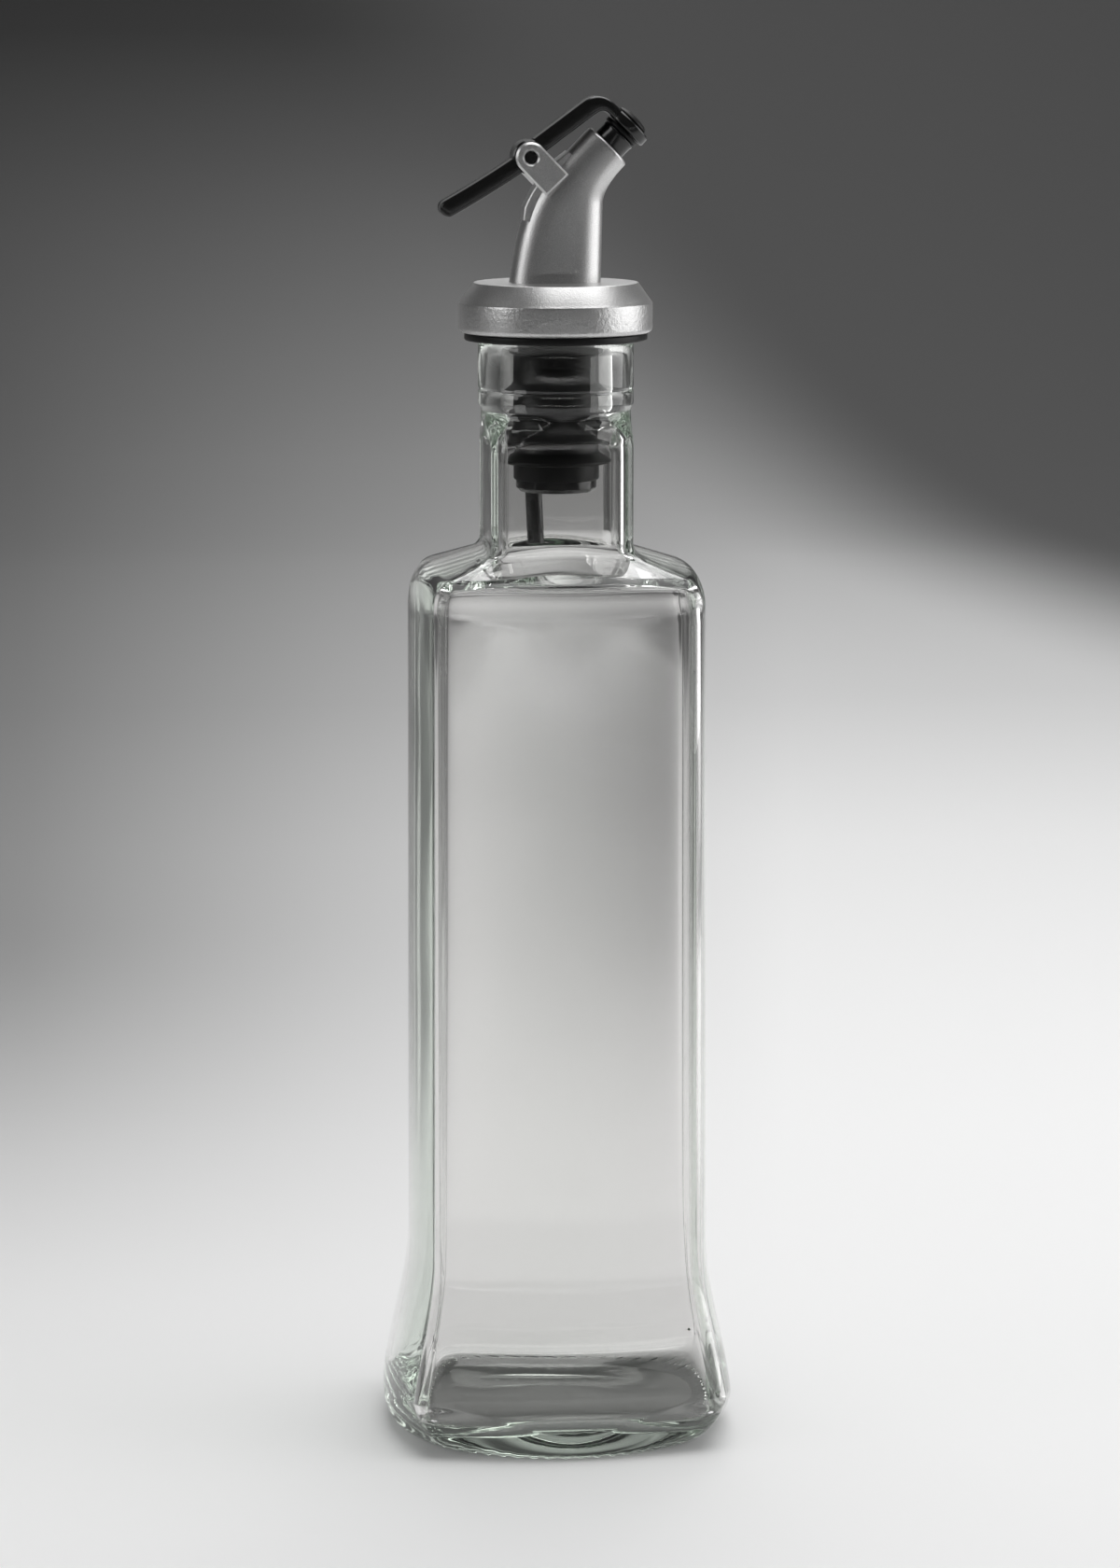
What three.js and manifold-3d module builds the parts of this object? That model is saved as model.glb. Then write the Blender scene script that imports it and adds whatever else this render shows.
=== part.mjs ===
// Cruet with a lever pourer: a square glass bottle on a flared foot, a finned rubber stopper,
// a silver pouring head and a sprung lever that caps the nozzle.
// Millimetres, +Z up. The origin is on the bottle's axis, on the plane that it stands on.
// The spout points along +X and the lever's tail along -X.

import * as THREE from 'three';
import { mergeVertices } from 'three/addons/utils/BufferGeometryUtils.js';
import Module from 'manifold-3d';

const wasm = await Module();
wasm.setup();

// Bottle, outside. Half widths run from the axis to the middle of a flat face.
const BEARING_RADIUS = 32.7; // outer edge of the ring that the bottle stands on
const BEARING_WIDTH = 2.6;
const PUNT_RISE = 4.5; // hollow under the base
const HEEL_HEIGHT = 5.3; // below the middle of a face
const HEEL_CORNER_HEIGHT = 11.5; // below a corner
const HEEL_FULLNESS = 1.5; // 1 is a straight heel, 2 a quarter ellipse
const FOOT_HALF_WIDTH = 35;
const FOOT_CORNER_RADIUS = 5;
const FOOT_PANEL_RADIUS = 140; // how gently the foot's faces are curved
const FLARE_BASE = 3;
const FLARE_HEIGHT = 37;
const BODY_BASE_HALF_WIDTH = 30.3;
const BODY_TOP_HALF_WIDTH = 29.8;
const BODY_CORNER_RADIUS = 4.2;
const BODY_PANEL_RADIUS = 95; // how gently the body's faces are curved
const BODY_HEIGHT = 128.5; // straight stretch between flare and shoulder
const SHOULDER_EDGE_RISE = 10.1;
const SHOULDER_EDGE_RUN = 5.3;
const SHOULDER_SLOPE_DEG = 17.2;
const SHOULDER_DROOP = 1.5; // how far the shoulder's corners lie below its middles
const NECK_FILLET = 1.3;
const NECK_LENGTH = 25.92;
const NECK_BASE_HALF_WIDTH = 14.8;
const NECK_BASE_CORNER_RADIUS = 5;
const NECK_PANEL_RADIUS = 1e5; // as good as flat
const NECK_TOP_RADIUS = 14.85;
const FINISH_HEIGHT = 14;
const FINISH_RADIUS = 15.65;
const FINISH_STEP_RISE = 1.2;
const FINISH_EDGE_RADIUS = 0.9;

// Bottle, inside.
const BORE_RADIUS = 11;
const BORE_EDGE = 0.6;
const BORE_FILLET = 3;
const GLASS_WALL = 3;
const INNER_CORNER_RADIUS = 6;
const FLOOR_THICKNESS = 3.6; // at the middle, above the punt
const FLOOR_DISH = 1.5; // how far the floor's edge lies below its middle
const FLOOR_EDGE_RADIUS = 6;

// Rubber stopper.
const FLANGE_RADIUS = 18.4;
const FLANGE_THICKNESS = 1.5;
const SLEEVE_RADIUS = 8.4;
const SLEEVE_LENGTH = 28; // below the flange
const LIP_RADIUS = 9.7; // thicker stretch under the flange
const LIP_LENGTH = 2.8;
const FIN_COUNT = 4;
const FIN_PITCH = 4.75;
const FIRST_FIN_DROP = 10.4; // flange's underside to the lip of the top fin
const FIN_HEIGHT = 2.3;
const FIN_LIP = 0.8;

// Pouring head: collar, tower and mouth. Heights in the tower are above the collar's top.
const COLLAR_RADIUS = 19.45;
const COLLAR_HEIGHT = 10;
const COLLAR_LOWER_EDGE = 1.1;
const COLLAR_BEVEL_RUN = 3;
const COLLAR_BEVEL_RISE = 4.1;
const COLLAR_WALL = 2.3;
const TOWER_REAR = -9.4;
const TOWER_LENGTH = 18.4;
const TOWER_WIDTH = 11.4;
const TOWER_WALL = 1.6;
const TOWER_REAR_LEAN = 2.4;
const TOWER_REAR_STEM = 16.1;
const TOWER_REAR_RUN = 17.8; // how far back the mouth's direction steers the rear curve
const TOWER_FRONT_LEAN = 0.4;
const TOWER_FRONT_STEM = 16.1;
const TOWER_FRONT_RUN = 6.1;
const MOUTH_X = 10.5;
const MOUTH_RISE = 27.2;
const MOUTH_TILT_DEG = 45;
const MOUTH_RADIUS = 5.15;
const MOUTH_EDGE = 0.5;
const NOZZLE_RADIUS = 3.65;
const NOZZLE_LENGTH = 3.2; // outside the mouth
const NOZZLE_LIP = 0.12;
const NOZZLE_LIP_THICKNESS = 0.6;

// Hinge: ears, pad and pin.
const PIVOT_X = -5.5;
const PIVOT_RISE = 25;
const EAR_RADIUS = 3.05;
const EAR_LENGTH = 7.6; // from the pivot to the square end
const EAR_TURN_DEG = -46; // direction from the pivot to the square end
const EAR_THICKNESS = 1.8;
const EAR_EDGE = 0.35;
const PAD_HEIGHT = 0.6;
const PAD_START = 0.34; // places along the tower's rear curve, 0 at the collar and 1 at the mouth
const PAD_END = 0.86;
const PAD_ROOT = 2.2;
const PIN_RADIUS = 1.2;
const PIN_RECESS = 0.3;
const PIN_CHAMFER = 0.2;
const PIN_HOLE_CHAMFER = 0.35;

// Core inside the head and the stopper.
const SPIGOT_RADIUS = 7.3;
const CORE_FLANGE_THICKNESS = 2.2;
const BARB_RADIUS = 8.1;
const BARB_HEIGHT = 2.3;
const CHANNEL_RADIUS = 2.2;
const CHANNEL_OFFSET = 1; // towards the front of the tower
const CHANNEL_FOOT_X = 2;
const DUCT_RADIUS = 0.7;
const DUCT_OFFSET = 2.4; // towards the rear of the tower
const VENT_RADIUS = 1.7;
const VENT_BORE_RADIUS = 1;
const VENT_X = -4.6; // where the tube leaves the spigot
const VENT_DROP = 10.6; // below the spigot
const VENT_SEAT = 6; // inside the spigot
const VENT_TILT_DEG = 2.5;

// Lever, with the pivot as its own origin.
const LEVER_WIDTH = 7.3;
const LEVER_EDGE = 0.6;
const HUB_RADIUS = 3.45;
const TAIL_THICKNESS = 3.4;
const TAIL_REACH = 16.3;
const TAIL_DROP = 10.1;
const TAIL_BEND_REACH = 8;
const TAIL_BEND_DROP = 5.5;
const ARM_THICKNESS = 3.4;
const ARM_RISE_DEG = 36.5;
const ARM_OFFSET = 0.7; // the arm's middle runs this far above the pivot
const ARM_BEND_LENGTH = 3.3;
const CAP_RADIUS = 4.85;
const CAP_THICKNESS = 2.2;
const CAP_EDGE = 0.5;

// Seal in the lever's cap.
const SEAL_DISC_RADIUS = 3.95;
const SEAL_DISC_THICKNESS = 0.8;
const SEAL_STEM_RADIUS = 1.6;
const SEAL_HEAD_RADIUS = 3.5;
const SEAL_HEAD_HEIGHT = 1.15;

// Return spring round the pin, in a pocket of the hub that opens towards +Y.
const WIRE_RADIUS = 0.25;
const COIL_RADIUS = 2.1;
const COIL_TURNS = 3.25;
const COIL_PITCH = 1.05;
const TANG_LENGTH = 1.5;
const POCKET_DEPTH = 4.6;

// Clearances.
const SEAT_GAP = 0.05; // between level faces that rest on each other
const TURNED_GAP = 0.2; // between tilted faces that rest on each other
const SLIP_GAP = 0.2; // stopper in the neck, and spigot in the stopper
const SHELL_GAP = 0.3; // core in the shell, and tube in its socket
const PIN_GAP = 0.1;
const HUB_SIDE_GAP = 0.25;
const POCKET_GAP = 0.4;

// Facets.
const STEPS_PER_QUADRANT = 10;
const SHOULDER_STEPS = 4;
const ROUND_SIDES = 36;
const SMALL_SIDES = 20;
const TOWER_STEPS = 12;
const TOWER_SIDES = 24;
const WIRE_SIDES = 5;
const WIRE_STEPS_PER_TURN = 8;

const rad = THREE.MathUtils.degToRad;
const lerp = THREE.MathUtils.lerp;

// Levels that follow from the sizes above.
const flareTop = FLARE_BASE + FLARE_HEIGHT;
const bodyTop = flareTop + BODY_HEIGHT;
const slope = Math.tan(rad(SHOULDER_SLOPE_DEG));
const shoulderEdgeHalf = BODY_TOP_HALF_WIDTH - SHOULDER_EDGE_RUN;
const shoulderEdgeTop = bodyTop + SHOULDER_EDGE_RISE;
const neckBase = shoulderLevel(NECK_BASE_HALF_WIDTH) + NECK_FILLET;
const neckTop = neckBase + NECK_LENGTH;
const finishTop = neckTop + FINISH_HEIGHT;
const flangeBase = finishTop + SEAT_GAP;
const collarTop = flangeBase + FLANGE_THICKNESS + SEAT_GAP + COLLAR_HEIGHT;

// Mesh helpers.

/** Merges shared corners, drops flat triangles and turns the faces outwards. */
function closedGeometry(source) {
  const bare = new THREE.BufferGeometry();
  bare.setAttribute('position', source.getAttribute('position'));
  if (source.index) bare.setIndex(source.index);
  const merged = mergeVertices(bare);
  const place = merged.getAttribute('position');
  const corners = merged.index.array;
  const a = new THREE.Vector3();
  const b = new THREE.Vector3();
  const c = new THREE.Vector3();
  const kept = [];
  let volume = 0;
  for (let i = 0; i < corners.length; i += 3) {
    const [p, q, r] = [corners[i], corners[i + 1], corners[i + 2]];
    if (p === q || q === r || r === p) continue;
    kept.push(p, q, r);
    a.fromBufferAttribute(place, p);
    b.fromBufferAttribute(place, q);
    c.fromBufferAttribute(place, r);
    volume += a.dot(b.cross(c));
  }
  if (volume < 0) kept.reverse();
  merged.setIndex(kept);
  return merged;
}

/** Makes a closed geometry a solid that can be joined and cut. */
function solidOf(geometry) {
  const closed = closedGeometry(geometry);
  const vertProperties = new Float32Array(closed.getAttribute('position').array);
  const triVerts = new Uint32Array(closed.index.array);
  return new wasm.Manifold(new wasm.Mesh({ numProp: 3, vertProperties, triVerts }));
}

/** Makes a solid a geometry again. */
function geometryOf(solid) {
  const mesh = solid.getMesh();
  const geometry = new THREE.BufferGeometry();
  geometry.setAttribute('position', new THREE.BufferAttribute(new Float32Array(mesh.vertProperties), 3));
  geometry.setIndex(Array.from(mesh.triVerts));
  return geometry;
}

/** Joins rings of equal count into one skin, closed by a fan at each end. */
function loft(rings, startPoint, endPoint) {
  const count = rings[0].length;
  const points = [startPoint, ...rings.flat(), endPoint];
  const last = points.length - 1;
  const at = (ring, i) => 1 + ring * count + (i % count);
  const triangles = [];
  for (let i = 0; i < count; i += 1) {
    triangles.push(0, at(0, i + 1), at(0, i));
    for (let ring = 0; ring + 1 < rings.length; ring += 1) {
      triangles.push(at(ring, i), at(ring, i + 1), at(ring + 1, i + 1));
      triangles.push(at(ring, i), at(ring + 1, i + 1), at(ring + 1, i));
    }
    triangles.push(last, at(rings.length - 1, i), at(rings.length - 1, i + 1));
  }
  const geometry = new THREE.BufferGeometry().setFromPoints(points);
  geometry.setIndex(triangles);
  return closedGeometry(geometry);
}

/** Middle of a ring of points. */
function middleOf(ring) {
  const sum = ring.reduce((total, point) => total.add(point), new THREE.Vector3());
  return sum.divideScalar(ring.length);
}

/** Turns a profile of [radius, height] points about the Z axis. */
function revolve(profile, sides) {
  const points = profile.map(([radius, height]) => new THREE.Vector2(radius, height));
  const geometry = new THREE.LatheGeometry(points, sides);
  geometry.rotateX(Math.PI / 2);
  return closedGeometry(geometry);
}

/** Extrudes an outline drawn in X and Z along Y, centred on Y = 0, with rounded side edges. */
function extrudeAcross(outline, width, edge) {
  const geometry = new THREE.ExtrudeGeometry(outline, {
    depth: width - 2 * edge,
    bevelEnabled: edge > 0,
    bevelThickness: edge,
    bevelSize: edge,
    bevelOffset: -edge,
    bevelSegments: 2,
    curveSegments: 8,
  });
  geometry.rotateX(Math.PI / 2);
  geometry.translate(0, width / 2 - edge, 0);
  return closedGeometry(geometry);
}

/** Sweeps a round section along a curve. */
function sweepRound(curve, radius, sides, steps) {
  const section = new THREE.Shape();
  section.absarc(0, 0, radius, 0, 2 * Math.PI);
  const geometry = new THREE.ExtrudeGeometry(section, {
    steps,
    extrudePath: curve,
    curveSegments: sides,
  });
  return closedGeometry(geometry);
}

// Glass bottle. A section is a square with curved faces and rounded corners.

const footSection = { half: FOOT_HALF_WIDTH, corner: FOOT_CORNER_RADIUS, panel: FOOT_PANEL_RADIUS };
const bodyBaseSection = { half: BODY_BASE_HALF_WIDTH, corner: BODY_CORNER_RADIUS, panel: BODY_PANEL_RADIUS };
const bodyTopSection = { ...bodyBaseSection, half: BODY_TOP_HALF_WIDTH };
const neckBaseSection = { half: NECK_BASE_HALF_WIDTH, corner: NECK_BASE_CORNER_RADIUS, panel: NECK_PANEL_RADIUS };
const neckTopSection = { half: NECK_TOP_RADIUS, corner: NECK_TOP_RADIUS, panel: NECK_PANEL_RADIUS };
const innerTopSection = { ...bodyTopSection, corner: INNER_CORNER_RADIUS };
const boreSection = { half: BORE_RADIUS, corner: BORE_RADIUS, panel: NECK_PANEL_RADIUS };

/** Height of the shoulder's sloping stretch, drawn out to a half width. */
function shoulderLevel(half) {
  return shoulderEdgeTop + (shoulderEdgeHalf - half) * slope;
}

/** Directions round the axis, closest together at the four corners. */
function cornerDirections() {
  const crowding = 1.5;
  const angles = [];
  for (let quadrant = 0; quadrant < 4; quadrant += 1) {
    for (let step = 0; step < STEPS_PER_QUADRANT; step += 1) {
      const t = (2 * step) / STEPS_PER_QUADRANT - 1;
      const fromCorner = Math.sign(t) * Math.abs(t) ** crowding;
      angles.push((quadrant + 0.5 + fromCorner / 2) * (Math.PI / 2));
    }
  }
  return angles;
}

const directions = cornerDirections();

/** Distance from the axis to a square outline with curved faces and rounded corners. */
function squareReach(angle, { half, corner, panel }) {
  const cosine = Math.max(Math.abs(Math.cos(angle)), Math.abs(Math.sin(angle)));
  const sine = Math.min(Math.abs(Math.cos(angle)), Math.abs(Math.sin(angle)));
  const back = panel - half;
  const span = panel - corner;
  const centre = (Math.sqrt(2 * span ** 2 - back ** 2) - back) / 2;
  const tangentAcross = (panel / span) * centre;
  const tangentOut = (panel / span) * (centre + back) - back;
  if (sine * tangentOut <= cosine * tangentAcross) {
    return Math.sqrt(panel ** 2 - (back * sine) ** 2) - back * cosine;
  }
  const sum = cosine + sine;
  return centre * sum + Math.sqrt(Math.max(0, corner ** 2 - centre ** 2 * (2 - sum ** 2)));
}

/** A section between two others. The faces' curvature, not its radius, changes evenly. */
function sectionBetween(first, last, share) {
  return {
    half: lerp(first.half, last.half, share),
    corner: lerp(first.corner, last.corner, share),
    panel: 1 / lerp(1 / first.panel, 1 / last.panel, share),
  };
}

function pointAt(angle, reach, level) {
  return new THREE.Vector3(reach * Math.cos(angle), reach * Math.sin(angle), level);
}

/** 0 towards the middle of a face, 1 towards a corner. */
function towardsCorner(angle) {
  return (1 - Math.cos(4 * angle)) / 2;
}

/** A ring of a section, with its corners lower than its middles by the droop. */
function squareRing(section, level, droop = 0) {
  return directions.map((angle) => pointAt(
    angle, squareReach(angle, section), level - droop * towardsCorner(angle),
  ));
}

function roundRing(radius, level) {
  return directions.map((angle) => pointAt(angle, radius, level));
}

/** Rings along a path of [half width, level], from one section's corners and faces to another's. */
function shoulderRings(path, first, last) {
  const points = path.getPoints(SHOULDER_STEPS);
  return points.map((point, i) => {
    const share = i / (points.length - 1);
    const section = { ...sectionBetween(first, last, share), half: point.x };
    return squareRing(section, point.y, SHOULDER_DROOP * Math.sin(Math.PI * share));
  });
}

/** Section of the flare's outside at a level. */
function flareSection(level) {
  const share = THREE.MathUtils.smoothstep(level, FLARE_BASE, flareTop);
  return sectionBetween(footSection, bodyBaseSection, share);
}

/** Section of the inside, one wall thickness in from the flare. */
function innerSection(level) {
  const outer = flareSection(level);
  return { ...outer, half: outer.half - GLASS_WALL, corner: INNER_CORNER_RADIUS };
}

function flareReach(angle, level) {
  return squareReach(angle, flareSection(level));
}

/** Level where the heel's rounding ends, higher under the corners. */
function heelTop(angle) {
  return lerp(HEEL_HEIGHT, HEEL_CORNER_HEIGHT, towardsCorner(angle));
}

/** One ring of the heel, a rounded rise from the bearing ring to the foot. */
function heelRing(fraction) {
  const turn = (fraction * Math.PI) / 2;
  const outwards = Math.sin(turn) ** (2 / HEEL_FULLNESS);
  const upwards = 1 - Math.cos(turn) ** (2 / HEEL_FULLNESS);
  return directions.map((angle) => {
    const top = heelTop(angle);
    const reach = lerp(BEARING_RADIUS, flareReach(angle, top), outwards);
    return pointAt(angle, reach, top * upwards);
  });
}

function flareRing(fraction) {
  return directions.map((angle) => {
    const level = lerp(heelTop(angle), flareTop, fraction);
    return pointAt(angle, flareReach(angle, level), level);
  });
}

function bottleOutside() {
  const bearingInner = BEARING_RADIUS - BEARING_WIDTH;
  const puntRings = [0.4, 0.7, 0.9].map((share) => {
    const radius = share * bearingInner;
    return roundRing(radius, PUNT_RISE * (1 - share ** 2));
  });
  const heelRings = [0, 0.25, 0.5, 0.75, 1].map(heelRing);
  const flareRings = [0.12, 0.26, 0.42, 0.6, 0.8, 1].map(flareRing);
  const shoulder = new THREE.Path();
  const filletHalf = NECK_BASE_HALF_WIDTH + NECK_FILLET;
  shoulder.moveTo(BODY_TOP_HALF_WIDTH, bodyTop);
  shoulder.quadraticCurveTo(
    BODY_TOP_HALF_WIDTH, shoulderLevel(BODY_TOP_HALF_WIDTH), shoulderEdgeHalf, shoulderEdgeTop,
  );
  shoulder.lineTo(filletHalf, shoulderLevel(filletHalf));
  shoulder.quadraticCurveTo(
    NECK_BASE_HALF_WIDTH, shoulderLevel(NECK_BASE_HALF_WIDTH), NECK_BASE_HALF_WIDTH, neckBase,
  );
  const neckRings = [0.33, 0.67, 1].map((share) => squareRing(
    sectionBetween(neckBaseSection, neckTopSection, share),
    lerp(neckBase, neckTop, share),
  ));
  const edge = FINISH_EDGE_RADIUS;
  const edgeRings = [0, Math.PI / 4, Math.PI / 2].map((turn) => roundRing(
    FINISH_RADIUS - edge * (1 - Math.cos(turn)),
    finishTop - edge * (1 - Math.sin(turn)),
  ));
  return [
    ...puntRings,
    roundRing(bearingInner, 0),
    ...heelRings,
    ...flareRings,
    ...shoulderRings(shoulder, bodyTopSection, neckBaseSection),
    ...neckRings,
    roundRing(FINISH_RADIUS, neckTop + FINISH_STEP_RISE),
    ...edgeRings,
  ];
}

function bottleInside() {
  const half = BODY_TOP_HALF_WIDTH - GLASS_WALL;
  const drop = GLASS_WALL / Math.cos(rad(SHOULDER_SLOPE_DEG));
  const level = (at) => shoulderLevel(at) - drop;
  const filletEnd = BORE_RADIUS + BORE_FILLET;
  const edgeStart = half - SHOULDER_EDGE_RUN;
  const shoulder = new THREE.Path();
  shoulder.moveTo(BORE_RADIUS, level(BORE_RADIUS) + BORE_FILLET);
  shoulder.quadraticCurveTo(BORE_RADIUS, level(BORE_RADIUS), filletEnd, level(filletEnd));
  shoulder.lineTo(edgeStart, level(edgeStart));
  shoulder.quadraticCurveTo(half, level(half), half, bodyTop);
  const floorEdge = PUNT_RISE + FLOOR_THICKNESS - FLOOR_DISH;
  const wallBase = floorEdge + FLOOR_EDGE_RADIUS;
  const wallRings = [1, 0.6, 0.3, 0.12, 0].map((share) => {
    const at = lerp(wallBase, flareTop, share);
    return squareRing(innerSection(at), at);
  });
  const lowest = innerSection(wallBase);
  const floorRings = [Math.PI / 6, Math.PI / 3, Math.PI / 2].map((turn) => squareRing(
    { ...lowest, half: lowest.half - FLOOR_EDGE_RADIUS * (1 - Math.cos(turn)) },
    wallBase - FLOOR_EDGE_RADIUS * Math.sin(turn),
  ));
  return [
    roundRing(BORE_RADIUS + BORE_EDGE, finishTop),
    roundRing(BORE_RADIUS, finishTop - BORE_EDGE),
    ...shoulderRings(shoulder, boreSection, innerTopSection),
    ...wallRings,
    ...floorRings,
  ];
}

function bottleGeometry() {
  const underside = new THREE.Vector3(0, 0, PUNT_RISE);
  const floor = new THREE.Vector3(0, 0, PUNT_RISE + FLOOR_THICKNESS);
  return loft([...bottleOutside(), ...bottleInside()], underside, floor);
}

// Rubber stopper, with its own origin on the axis at the flange's underside.

function stopperGeometry() {
  const inner = SPIGOT_RADIUS + SLIP_GAP;
  const finRadius = BORE_RADIUS - SLIP_GAP;
  const flangeEdge = FLANGE_THICKNESS / 4;
  const profile = [
    [inner, FLANGE_THICKNESS],
    [inner, -SLEEVE_LENGTH],
    [SLEEVE_RADIUS - flangeEdge, -SLEEVE_LENGTH],
    [SLEEVE_RADIUS, flangeEdge - SLEEVE_LENGTH],
  ];
  for (let fin = FIN_COUNT - 1; fin >= 0; fin -= 1) {
    const lip = -FIRST_FIN_DROP - fin * FIN_PITCH;
    profile.push([SLEEVE_RADIUS, lip + FIN_LIP / 2]);
    profile.push([finRadius, lip]);
    profile.push([finRadius, lip + FIN_LIP]);
    profile.push([SLEEVE_RADIUS, lip + FIN_HEIGHT]);
  }
  profile.push(
    [SLEEVE_RADIUS, -LIP_LENGTH],
    [LIP_RADIUS, -LIP_LENGTH],
    [LIP_RADIUS, 0],
    [FLANGE_RADIUS - flangeEdge, 0],
    [FLANGE_RADIUS, flangeEdge],
    [FLANGE_RADIUS, FLANGE_THICKNESS - flangeEdge],
    [FLANGE_RADIUS - flangeEdge, FLANGE_THICKNESS],
    [inner, FLANGE_THICKNESS],
  );
  return revolve(profile, ROUND_SIDES);
}

// Pouring head, with its own origin on the axis at the collar's top.

const mouthTilt = rad(MOUTH_TILT_DEG);
const mouthNormal = new THREE.Vector3(Math.sin(mouthTilt), 0, Math.cos(mouthTilt));
const mouthSlope = new THREE.Vector3(Math.cos(mouthTilt), 0, -Math.sin(mouthTilt));
const mouthCentre = new THREE.Vector3(MOUTH_X, 0, MOUTH_RISE);
const mouthRear = mouthCentre.clone().addScaledVector(mouthSlope, -MOUTH_RADIUS);
const mouthFront = mouthCentre.clone().addScaledVector(mouthSlope, MOUTH_RADIUS);
const towerFront = TOWER_REAR + TOWER_LENGTH;

const rearCurve = new THREE.CubicBezierCurve3(
  new THREE.Vector3(TOWER_REAR, 0, 0),
  new THREE.Vector3(TOWER_REAR + TOWER_REAR_LEAN, 0, TOWER_REAR_STEM),
  mouthRear.clone().addScaledVector(mouthNormal, -TOWER_REAR_RUN),
  mouthRear,
);
const frontStem = new THREE.LineCurve3(
  new THREE.Vector3(towerFront, 0, 0),
  new THREE.Vector3(towerFront + TOWER_FRONT_LEAN, 0, TOWER_FRONT_STEM),
);
const frontBend = new THREE.QuadraticBezierCurve3(
  frontStem.v2,
  mouthFront.clone().addScaledVector(mouthNormal, -TOWER_FRONT_RUN),
  mouthFront,
);

/** Section of the tower at a share of its way: its middle, its long direction and its half sizes. */
function towerSection(share) {
  const rear = rearCurve.getPoint(share);
  const front = share < 0.5 ? frontStem.getPoint(2 * share) : frontBend.getPoint(2 * share - 1);
  const middle = rear.clone().lerp(front, 0.5);
  const along = front.clone().sub(rear);
  const halfLength = along.length() / 2;
  const halfWidth = lerp(TOWER_WIDTH / 2, MOUTH_RADIUS, share);
  return { middle, along: along.normalize(), halfLength, halfWidth };
}

/** Wall of the shell, which at the mouth leaves just the nozzle's own room. */
function towerWall(share) {
  return lerp(TOWER_WALL, MOUTH_RADIUS - NOZZLE_RADIUS - SHELL_GAP, share);
}

/** Distance from the middle to an outline with straight sides and round ends. */
function slotReach(angle, halfLength, halfWidth) {
  const centre = Math.max(0, halfLength - halfWidth);
  const cosine = Math.abs(Math.cos(angle));
  const sine = Math.abs(Math.sin(angle));
  if (halfWidth * cosine <= centre * sine) return halfWidth / sine;
  return centre * cosine + Math.sqrt(halfWidth ** 2 - (centre * sine) ** 2);
}

function towerRing(section, inset) {
  const across = new THREE.Vector3(0, 1, 0);
  const ring = [];
  for (let side = 0; side < TOWER_SIDES; side += 1) {
    const angle = (2 * Math.PI * side) / TOWER_SIDES;
    const reach = slotReach(angle, section.halfLength - inset, section.halfWidth - inset);
    const point = section.middle.clone();
    point.addScaledVector(section.along, reach * Math.cos(angle));
    point.addScaledVector(across, reach * Math.sin(angle));
    ring.push(point);
  }
  return ring;
}

/** The tower's rings from a depth below the collar's top to a height past the mouth. */
function towerRings(insetAt, depth, past) {
  const root = towerRing(towerSection(0), insetAt(0));
  const rings = [root.map((point) => point.clone().setZ(-depth))];
  for (let step = 0; step <= TOWER_STEPS; step += 1) {
    const share = step / TOWER_STEPS;
    rings.push(towerRing(towerSection(share), insetAt(share)));
  }
  if (past > 0) {
    const mouth = rings[rings.length - 1];
    rings.push(mouth.map((point) => point.clone().addScaledVector(mouthNormal, past)));
  }
  return rings;
}

function loftRings(rings) {
  return loft(rings, middleOf(rings[0]), middleOf(rings[rings.length - 1]));
}

/** The tower's outside, with a rounded edge at the mouth. */
function towerSolid(depth) {
  const rings = towerRings(() => 0, depth, 0);
  const mouth = rings.pop();
  rings.push(mouth.map((point) => point.clone().addScaledVector(mouthNormal, -MOUTH_EDGE)));
  rings.push(towerRing(towerSection(1), MOUTH_EDGE));
  return solidOf(loftRings(rings));
}

function collarSolid() {
  const base = -COLLAR_HEIGHT;
  const edge = COLLAR_LOWER_EDGE;
  const profile = [[0, base]];
  for (const turn of [0, Math.PI / 6, Math.PI / 3, Math.PI / 2]) {
    profile.push([COLLAR_RADIUS - edge * (1 - Math.sin(turn)), base + edge * (1 - Math.cos(turn))]);
  }
  profile.push([COLLAR_RADIUS, -COLLAR_BEVEL_RISE], [COLLAR_RADIUS - COLLAR_BEVEL_RUN, 0], [0, 0]);
  return solidOf(revolve(profile, ROUND_SIDES));
}

const recessRadius = COLLAR_RADIUS - COLLAR_WALL;
const recessRoof = -TOWER_WALL;

function recessSolid() {
  const below = -COLLAR_HEIGHT - 1;
  const profile = [
    [0, below],
    [recessRadius, below],
    [recessRadius, -COLLAR_BEVEL_RISE - TOWER_WALL],
    [recessRadius - COLLAR_BEVEL_RUN, recessRoof],
    [0, recessRoof],
  ];
  return solidOf(revolve(profile, ROUND_SIDES));
}

const earInner = LEVER_WIDTH / 2 + HUB_SIDE_GAP;
const earOuter = earInner + EAR_THICKNESS;

/** One hinge ear: a plate with a round end at the pivot and a square end on the tower. */
function earSolid(side) {
  const outline = new THREE.Shape();
  outline.moveTo(EAR_LENGTH, -EAR_RADIUS);
  outline.lineTo(EAR_LENGTH, EAR_RADIUS);
  outline.absarc(0, 0, EAR_RADIUS, Math.PI / 2, (3 * Math.PI) / 2);
  const geometry = extrudeAcross(outline, EAR_THICKNESS, EAR_EDGE);
  geometry.rotateY(-rad(EAR_TURN_DEG));
  geometry.translate(PIVOT_X, side * (earInner + EAR_THICKNESS / 2), PIVOT_RISE);
  return solidOf(geometry);
}

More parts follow.
